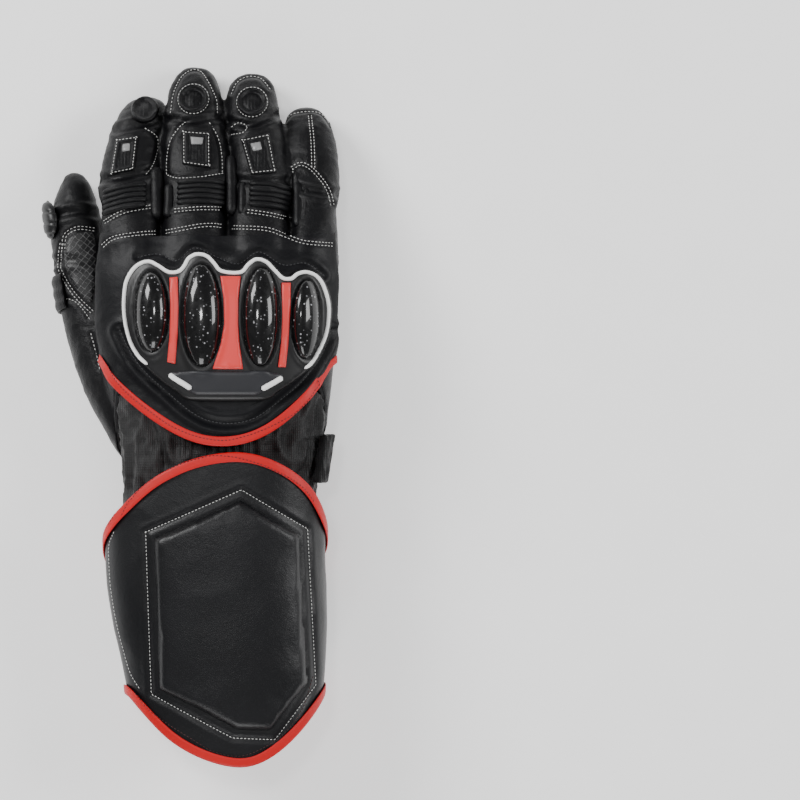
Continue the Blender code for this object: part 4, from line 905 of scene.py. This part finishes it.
def buildGuard():
    outline = sideways(backLine(guardLine + guardFoot, 1.0 * mm, closed=True), guard["grow"], True)
    soft = subdivided(cadCopy("back_panel"), 2)
    carrier = tree(soft)
    bpy.data.objects.remove(soft, do_unlink=True)

    def height(x, y, gap):
        lip = smoothStep(gap / guard["lip"])
        swell = guard["swell"][0] * smoothStep(gap / guard["swell"][1])
        socket = np.zeros(len(x))
        for centre, half, _ in domeOutlines.values():
            centre = fromBack([centre])[0]
            out = np.hypot((x - centre[0]) / (half[0] * photo["scale"] + guard["socketGap"]),
                           (y - centre[1]) / (half[1] * photo["scale"] + guard["socketGap"]))
            socket += guard["rim"] * np.exp(-((out - 1.03) / 0.09) ** 2) - 0.5 * mm * (out < 0.93)
        return guard["base"] * (0.35 + 0.65 * lip) + swell + socket
    base = panel("knuckle_base_moulding", outline, carrier, 1, height, 1.1 * mm, seat=guard["seat"])
    finish(base, blackRubber, "matte_black_rubber", "knuckle_base")
    baseTree = tree(base)
    for node, (centre, half, turn) in domeOutlines.items():
        centre = fromBack([centre])[0]
        half = (half[0] * photo["scale"], half[1] * photo["scale"])

        def domed(x, y, gap, centre=centre, half=half):
            out = np.sqrt(((x - centre[0]) / half[0]) ** 2 + ((y - centre[1]) / half[1]) ** 2)
            return guard["domeRise"] * np.sqrt(np.clip(1.0 - out ** guard["domePower"], 0.0, 1.0))
        dome = panel(node + "_shell", ellipse(centre, half, turn, 72), baseTree, 1, domed, 0.85 * mm,
                     sink=0.6 * mm, seat=0.25 * mm)
        finish(dome, glossCarbon, "gloss_carbon", node)
    wedgeFoot = fromBack([(230, 372)])[0]
    for node, outline in inlayOutlines.items():
        spots = backLine(outline, 0.7 * mm, closed=True, bend=False)

        def bar(x, y, gap, node=node):
            rise = guard["inlayRise"] * (0.55 + 0.45 * smoothStep(gap / (0.6 * mm)))
            if node == "knuckle_inlay_middle":
                high, length, slope = guard["wedge"]
                edge = length - np.abs(x - wedgeFoot[0]) * slope
                rise = rise + high * np.clip((edge - (y - wedgeFoot[1])) / length, 0.0, 1.0)
            return rise
        inlay = panel(node + "_bar", spots, baseTree, 1, bar, 0.8 * mm, sink=0.5 * mm)
        finish(inlay, redRubber, "red_rubber", node)
    plate = panel("knuckle_plate_skin", backLine(plateOutline, closed=True, bend=False), baseTree, 1,
                  pillow(guard["plateRise"], 0.7 * mm), 1.2 * mm, sink=0.4 * mm)
    finish(plate, greyRubber, "dark_grey_rubber", "knuckle_plate")
    line = [laid(backLine(guardLine), baseTree, 1, 0.25 * mm)]
    bead = grown("knuckle_line_bead", "roll", line, whiteRubber, Radius=guard["line"], Step=0.8 * mm, Taper=90.0)
    finish(bead, whiteRubber, "white_rubber", "knuckle_white_line")
    plateTree = tree(base, plate)
    for node, spots in (("knuckle_dash_left", [(171.5, 374.5), (194, 389)]),
                        ("knuckle_dash_right", [(284, 377.5), (263, 389.5)])):
        dash = grown(node + "_bead", "roll", [laid(backLine(spots), plateTree, 1, 0.2 * mm)],
                     whiteRubber, Radius=guard["dash"], Step=0.6 * mm, Taper=14.0)
        finish(dash, whiteRubber, "white_rubber", node)


buildGuard()

print("finger armour")
ribs = {"radius": 1.55 * mm, "pitch": 5.2, "rows": 5, "arch": 2.0, "lift": 0.15 * mm}
ribRows = {  # left and right end of each finger's first rolled rib, pixels of the back view
    "finger_ribs_index": ((103, 193), (147, 184)),
    "finger_ribs_middle": ((177, 183), (224, 183)),
    "finger_ribs_ring": ((249, 184), (292, 190)),
}
tongues = {  # folded tongues between the fingers: path in the back view, radius
    "finger_gusset_index": [([(155, 166), (156, 185), (157, 205), (158, 221)], 3.6 * mm),
                            ([(169, 184), (169.5, 202), (168.5, 219)], 2.5 * mm)],
    "finger_gusset_middle": [([(230, 154), (231, 175), (232, 200), (232, 216)], 2.8 * mm),
                             ([(243, 182), (243, 200), (243, 217)], 2.3 * mm)],
    "finger_gusset_ring": [([(296, 170), (297.5, 190), (298, 212), (298, 229)], 2.6 * mm),
                           ([(306, 187), (306, 204), (304.5, 224)], 1.6 * mm)],
}


# A path that bridges the valley between two fingers, just below their tops
def bridged(line, radius):
    heights = []
    for x, y in line:
        sides = [land(bodyTree, x + way * (radius + 1.8 * mm), y, 1)[0].z for way in (-1, 1)]
        heights.append(max(sides) - 0.3 * mm)
    smoothed = np.convolve(np.pad(heights, 4, "edge"), np.ones(9) / 9, "valid")
    return [Vector((x, y, z - radius)) for (x, y), z in zip(line, smoothed)], [Vector((0, 0, 1))] * len(line), False


for node, (left, right) in ribRows.items():
    lines = []
    for row in range(ribs["rows"]):
        middle = ((left[0] + right[0]) / 2, (left[1] + right[1]) / 2 - ribs["arch"])
        spots = fromBack([(x, y + row * ribs["pitch"]) for x, y in (left, middle, right)])
        lines.append(laid(traced(spots, 1.0 * mm), handTree, 1, ribs["lift"]))
    rolls = grown(node + "_rolls", "roll", lines, softLeather, Radius=ribs["radius"], Taper=12.0)
    finish(rolls, softLeather, "black_leather", node)
for node, folds in tongues.items():
    parts = []
    for spots, radius in folds:
        path = bridged(backLine(spots, 1.0 * mm), radius)
        parts.append(grown(node + "_fold", "roll", [path], blackLeather, Radius=radius, Taper=9.0))
    finish(joined(node + "_tongues", parts), blackLeather, "black_leather", node)

sliders = {  # frame, window and chip, pixels of the back view
    "slider_index": ([(114, 137), (137, 134), (134, 170), (109, 175)], [(118, 141), (133, 139), (130, 166), (115, 169)],
                     [(121, 143), (129, 142), (129, 150), (121, 151)]),
    "slider_middle": ([(181, 129), (210, 131), (211, 168), (182, 164)],
                      [(187, 133), (206, 134), (207, 163), (188, 160)],
                      [(190, 136), (203, 137), (202, 144), (191, 144)]),
    "slider_ring": ([(240, 138), (269, 132), (277, 172), (251, 175)], [(246, 141), (265, 138), (271, 168), (254, 170)],
                    [(250, 143), (260, 141), (262, 149), (253, 151)]),
}
slider = {"rise": 2.0 * mm, "shoulder": 2.2 * mm, "dip": 1.2 * mm, "edge": 0.9 * mm, "rib": 0.35 * mm,
          "ribPitch": 1.5 * mm}


def buildSliders():
    for node, (frameSpots, windowSpots, chipSpots) in sliders.items():
        outline = backLine(frameSpots, closed=True, bend=False)
        window = fromBack(windowSpots)

        def height(x, y, gap, window=window):
            rise = slider["rise"] * (0.3 + 0.7 * smoothStep(gap / slider["shoulder"]))
            spots = np.column_stack([x, y])
            depth = np.full(len(x), 1.0)
            for a, b in zip(window, np.roll(window, -1, axis=0)):
                run = (b - a) / np.linalg.norm(b - a)
                depth = np.minimum(depth, (spots - a) @ np.array([run[1], -run[0]]))
            inner = smoothStep(depth / slider["edge"] + 0.5)
            grooves = slider["rib"] * np.cos(2 * math.pi * x / slider["ribPitch"])
            return rise * (1 - inner) + (rise - slider["dip"] + grooves) * inner
        made = panel(node + "_frame", outline, handTree, 1, height, 0.6 * mm, sink=0.8 * mm)
        finish(made, softLeather, "matte_black_rubber", node)
        own = tree(made)
        ring = sideways(outline, -1.0 * mm, True)
        centre = ring.mean(axis=0)
        if np.linalg.norm(ring - centre, axis=1).mean() > np.linalg.norm(outline - centre, axis=1).mean():
            ring = sideways(outline, 1.0 * mm, True)
        sew(ring, own, 1, closed=True)
        chip = backLine(chipSpots, 0.6 * mm, closed=True, bend=False)
        finish(panel(node + "_chip", chip, own, 1, pillow(0.5 * mm, 0.5 * mm), 0.7 * mm, sink=0.3 * mm), chipPlastic,
               "dark_grey_rubber")


buildSliders()

# ring is its place and width as shares of the radius
tip = {"rise": 2.1 * mm, "ring": (0.80, 0.15), "cup": 0.45, "ribs": 0.14, "ribPitch": 1.5 * mm, "seam": 0.93}
tipPads = {  # centre and radius in pixels
    "tip_pad_index": ((142, 107), 14.5), "tip_pad_middle": ((192, 97), 16.5), "tip_pad_ring": ((251, 100), 16.5)}


def buildTipPads():
    for node, (centre, radius) in tipPads.items():
        middle = fromBack([centre])[0]
        reach = radius * photo["scale"]

        def height(x, y, gap, middle=middle, reach=reach):
            out = np.hypot(x - middle[0], y - middle[1]) / reach
            ring = np.exp(-((out - tip["ring"][0]) / tip["ring"][1]) ** 2)
            cup = tip["cup"] * np.cos(np.clip(out / 0.55, 0, 1) * math.pi / 2)
            grooves = tip["ribs"] * np.cos(2 * math.pi * (x - middle[0]) / tip["ribPitch"]) * (out < 0.45)
            return tip["rise"] * (ring + cup + grooves + 0.12) * smoothStep(gap / (0.8 * mm))
        pad = panel(node + "_cap", ellipse(middle, (reach, reach), 0, 60), handTree, 1, height, 0.6 * mm,
                    sink=0.8 * mm, blend=0.5)
        finish(pad, softLeather if node == "tip_pad_index" else blackLeather, "matte_black_rubber", node)
        if node != "tip_pad_index":
            sew(ellipse(middle, (reach * tip["seam"],) * 2, 0, 60), tree(pad), 1, closed=True)


buildTipPads()


def softNode(node, material, slot):
    return finish(subdivided(cadCopy(node), 2), material, slot, node)


thumbGuard = {"from": 81.0 * mm, "length": 18.5 * mm, "notch": 0.45 * mm, "pitch": 5.2 * mm}
thumbPatchOutline = [(66, 237), (78, 232), (91, 233), (94, 262), (92, 296), (86, 301), (74, 287), (64, 268),
                     (62, 250)]


# The bump on the thumb's outer side, notched across
def buildThumbGuard():
    made = subdivided(cadCopy("thumb_guard"), 3)
    places, ways = points(made), normals(made)
    low = places[:, 1].min()
    places[:, 1] = thumbGuard["from"] + (places[:, 1] - low) * thumbGuard["length"] / np.ptp(places[:, 1])
    dents = np.maximum(0.0, np.cos(2 * math.pi * places[:, 1] / thumbGuard["pitch"])) ** 3
    moveTo(made, places - ways * (thumbGuard["notch"] * dents)[:, None])
    finish(made, blackRubber, "matte_black_rubber", "thumb_guard")


buildThumbGuard()
softNode("thumb_ribs", softLeather, "black_leather")
thumbPatch = panel("thumb_patch_print", backLine(thumbPatchOutline, closed=True), handTree, 1,
                   pillow(0.6 * mm, 1.0 * mm), 1.1 * mm, sink=0.5 * mm)
finish(thumbPatch, thumbPrint, "grip_print_leather", "thumb_patch")

print("palm")
palmPatches = {
    "palm_grip": [(457, 313), (462, 302), (477, 294), (520, 288), (560, 284), (584, 280), (602, 274), (606, 250),
                  (607, 228), (624, 222), (640, 229), (645, 262), (650, 300), (650, 331), (626, 333), (589, 329),
                  (540, 334), (492, 339), (468, 335), (459, 324)],
    "middle_grip": [(542, 104), (553, 99), (566, 104), (570, 140), (568, 188), (544, 189), (541, 150)],
    "index_grip": [(606, 126), (620, 127), (627, 150), (630, 207), (604, 207), (600, 160), (601, 140)],
    "web_grip": [(594, 341), (594, 357), (608, 370), (626, 380), (644, 366), (653, 350), (644, 341), (622, 344)],
}
for node, outline in palmPatches.items():
    edge = palmLine(outline, closed=True)
    patch = panel(node + "_print", edge, handTree, -1, pillow(0.7 * mm, 1.2 * mm), 1.3 * mm, sink=0.5 * mm)
    finish(patch, palmPrint, "grip_print_leather", *([node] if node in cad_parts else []))
    sew(edge, tree(handLeather, patch), -1, closed=True)
heelPads = {
    "heel_pad_outer": [(424, 402), (436, 400), (455, 412), (472, 427), (499, 435), (503, 446), (504, 480), (470, 485),
                       (439, 487), (424, 481), (422, 440)],
    "heel_pad_inner": [(524, 434), (548, 415), (575, 396), (588, 399), (594, 411), (590, 425), (568, 455), (544, 483),
                       (532, 480), (526, 458)],
}


# form is the pillow's rise, shoulder and edge; the rest says how it is blown up
heelCushion = {"form": (2.2 * mm, 3.0 * mm, 0.12), "voxel": 1.1 * mm, "cap": 0.6 * mm, "relax": 3}
for node, outline in heelPads.items():
    edge = palmLine(outline, 0.9 * mm, closed=True)
    pad = panel(node + "_cushion", edge, handTree, -1, pillow(*heelCushion["form"]), 1.2 * mm, sink=1.2 * mm)
    relaxed(inflated(pad, heelCushion["voxel"], heelCushion["cap"]), 0.5, heelCushion["relax"])
    finish(pad, smoothLeather, "black_leather", node)

print("wrist gaiter")
gaiter = {"voxel": 1.1 * mm, "radius": 42 * mm, "fold": 2.6 * mm, "pitch": 6.0 * mm, "run": 16 * mm,
          "drift": 3 * mm, "pucker": 2.0 * mm, "puckerSize": (8 * mm, 4.2 * mm)}


def buildGaiter():
    made = remeshed(subdivided(cadCopy("wrist_gaiter"), 2), gaiter["voxel"])
    places, ways = points(made), normals(made)
    middle = (places.max(axis=0) + places.min(axis=0)) / 2
    for i, (x, y, z) in enumerate(places):
        around = gaiter["radius"] * math.atan2(z - middle[2], x - middle[0])
        drift = noise.noise(Vector((around / (20 * mm), y / (25 * mm), 1.7))) * gaiter["drift"]
        fold = noise.noise(Vector(((around + drift) / gaiter["pitch"], y / gaiter["run"], 4.2)))
        wide, long = gaiter["puckerSize"]
        pucker = noise.noise(Vector((around / wide, y / long, 8.1)))
        # Both walls of the sleeve move the same way
        outward = 1.0 if ways[i][0] * (x - middle[0]) + ways[i][2] * (z - middle[2]) > 0 else -1.0
        dent = gaiter["fold"] * (0.2 - abs(fold) * 2.2) - gaiter["pucker"] * abs(pucker)
        places[i] += ways[i] * outward * dent
    moveTo(made, places)
    return finish(relaxed(made, 0.4, 2), stretchKnit, "black_stretch_fabric", "wrist_gaiter")


wristGaiter = buildGaiter()
strapTab = relaxed(remeshed(cadCopy("strap_tab"), 0.7 * mm), 0.6, 8)
wrinkle(strapTab, 0.8 * mm, (0.005, 0.008, 0.006), 6.4)
finish(strapTab, webbing, "black_leather", "strap_tab")
wristStrap = softNode("wrist_strap", webbing, "black_stretch_fabric")
softNode("strap_keeper", blackLeather, "black_leather")

print("cuff")
# Like the heel's cushion
cuffCushion = {"form": (4.2 * mm, 3.2 * mm, 0.1), "voxel": 1.15 * mm, "cap": 0.5 * mm, "relax": 9}
cuff = {"voxel": 0.8 * mm, "seam": (0.5 * mm, 1.2 * mm, 0.3), "seamLevel": 28 * mm, "fold": 0.30 * mm}
cuffPadOutline = [(156, 537), (243, 498), (300, 533), (308, 681), (272, 728), (239, 727), (161, 687)]
cuffPadSeam = [(148, 531), (243, 489), (308, 528), (316, 684), (276, 737), (234, 735), (153, 692)]
cuffTrimSeams = [
    [(110, 523), (126, 500), (150, 479.5), (179, 465), (204, 457), (218, 455), (239, 457), (264, 464.5), (285, 474.5),
     (303, 486), (314, 500)],
    [(137, 693), (152, 709), (172, 723), (195, 737), (216, 749), (243, 753), (268, 743), (285, 731), (303, 707),
     (313, 676)],
]
cuffEdgeSeam = [(115, 532), (110, 545), (110, 565), (112, 590), (117, 620), (124, 648), (131, 671), (140, 686)]


def aboveWing(x, y, z):
    return float(smoothStep((z - 0.02) / 0.015))


def buildCuff():
    panelPiece = relaxed(remeshed(subdivided(cadCopy("cuff_panel"), 2), cuff["voxel"]), 0.5, 5)
    wrinkle(panelPiece, cuff["fold"], (0.030, 0.022, 0.03), 2.4, aboveWing)
    padSeam = backLine(cuffPadSeam, closed=True, bend=False)
    press(panelPiece, [padSeam], 1, *cuff["seam"], level=cuff["seamLevel"])
    finish(panelPiece, smoothLeather, "black_leather", "cuff_panel")
    trim = boundEdge("cuff_binding")
    for seam in cuffTrimSeams:
        sew(backLine(seam), tree(trim, panelPiece), 1, colour="red")
    carrier = tree(panelPiece)
    edge = backLine(cuffPadOutline, 1.2 * mm, closed=True, bend=False)
    pad = panel("cuff_pad_cushion", edge, carrier, 1, pillow(*cuffCushion["form"]), 1.5 * mm, sink=0.6 * mm,
                seat=0.5 * mm)
    relaxed(inflated(pad, cuffCushion["voxel"], cuffCushion["cap"]), 0.5, cuffCushion["relax"])
    finish(pad, smoothLeather, "black_leather", "cuff_pad")
    sew(backLine(cuffEdgeSeam), carrier, 1)
    sew(padSeam, carrier, 1, closed=True)


buildCuff()

print("stitching")
for spots, rows in fingerSeams + thumbSeams:
    sew(backLine(spots), handTree, 1, rows)
for spots, rows in backSeams:
    sew(backLine(spots), bodyTree, 1, rows)
for spots, rows in palmSeams[:2]:
    sew(palmLine(spots), handTree, -1, rows)
wristTree = tree(handLeather, wristGaiter)


# The double row that follows the cut edge of the palm at the wrist
def palmEdge():
    spots = []
    for x in np.arange(-26 * mm, 54 * mm, 2 * mm):
        for y in np.arange(-52 * mm, -10 * mm, 0.5 * mm):
            hit = handTree.ray_cast(Vector((x, y, -0.1)), Vector((0, 0, 1)))[0]
            if hit is not None and hit.z < 30 * mm:
                spots.append((x, y + 2.2 * mm))
                break
    spots = np.array(spots)
    spots[:, 1] = np.convolve(np.pad(spots[:, 1], 3, "edge"), np.ones(7) / 7, "valid")
    return traced(spots, 0.8 * mm)


sew(palmEdge(), handTree, -1, 2)
for spots, rows in palmSeams[2:]:
    sew(palmLine(spots), wristTree, -1, rows)
for colour, material, slot in (("white", whiteThread, "white_rubber"), ("red", redThread, "red_leather"),
                               ("grey", greyThread, "black_leather")):
    finish(grown("stitching_" + colour, "stitch", threads[colour], material), material, slot)

print("stage")
studio = {"lens": 200.0, "sensor": 36.0, "width": 0.368, "lookAt": (0.0966, 0.0064), "floorGlow": 0.50, "sky": 0.22}


def buildStage():
    floor = newObject("floor", [(-3, -3, 0), (3, -3, 0), (3, 3, 0), (-3, 3, 0)], [(0, 1, 2, 3)])
    pale, nodes, shader = shaderOf("paleFloor", (0.90, 0.90, 0.90), 0.85)
    tinted(nodes, shader, noiseOf(nodes, 40), 0.3, 0.7, (0.89, 0.89, 0.89), (0.91, 0.91, 0.91))
    shader.inputs["Emission Color"].default_value = (1.0, 1.0, 1.0, 1.0)
    shader.inputs["Emission Strength"].default_value = studio["floorGlow"]
    floor.data.materials.append(pale)
    lamps = {  # place, size, power
        "keyLamp": ((-0.95, 0.80, 0.90), 0.6, 21.0),
        "fillLamp": ((1.25, 0.30, 0.85), 0.6, 13.0),
        "lowLamp": ((-0.1, -1.35, 0.75), 0.8, 13.0),
        "glintLamp": ((-0.10, 0.22, 1.5), 0.14, 3.2),
    }
    for name, (where, size, power) in lamps.items():
        light = bpy.data.lights.new(name, "AREA")
        light.shape = "SQUARE"
        light.size = size
        light.energy = power
        lamp = placed(name, light)
        lamp.location = where
        lamp.rotation_euler = (-Vector(where)).to_track_quat("-Z", "Y").to_euler()
    world = bpy.data.worlds.new("studioWorld")
    world.use_nodes = True
    sky = world.node_tree.nodes["Background"]
    sky.inputs["Color"].default_value = (1.0, 1.0, 1.0, 1.0)
    sky.inputs["Strength"].default_value = studio["sky"]
    bpy.context.scene.world = world
    camera = placed("camera", bpy.data.cameras.new("camera"))
    camera.data.lens = studio["lens"]
    camera.data.sensor_width = studio["sensor"]
    camera.location = (*studio["lookAt"], 0.04 + studio["lens"] / studio["sensor"] * studio["width"])
    camera.data.clip_end = 50.0
    bpy.context.scene.camera = camera


buildStage()
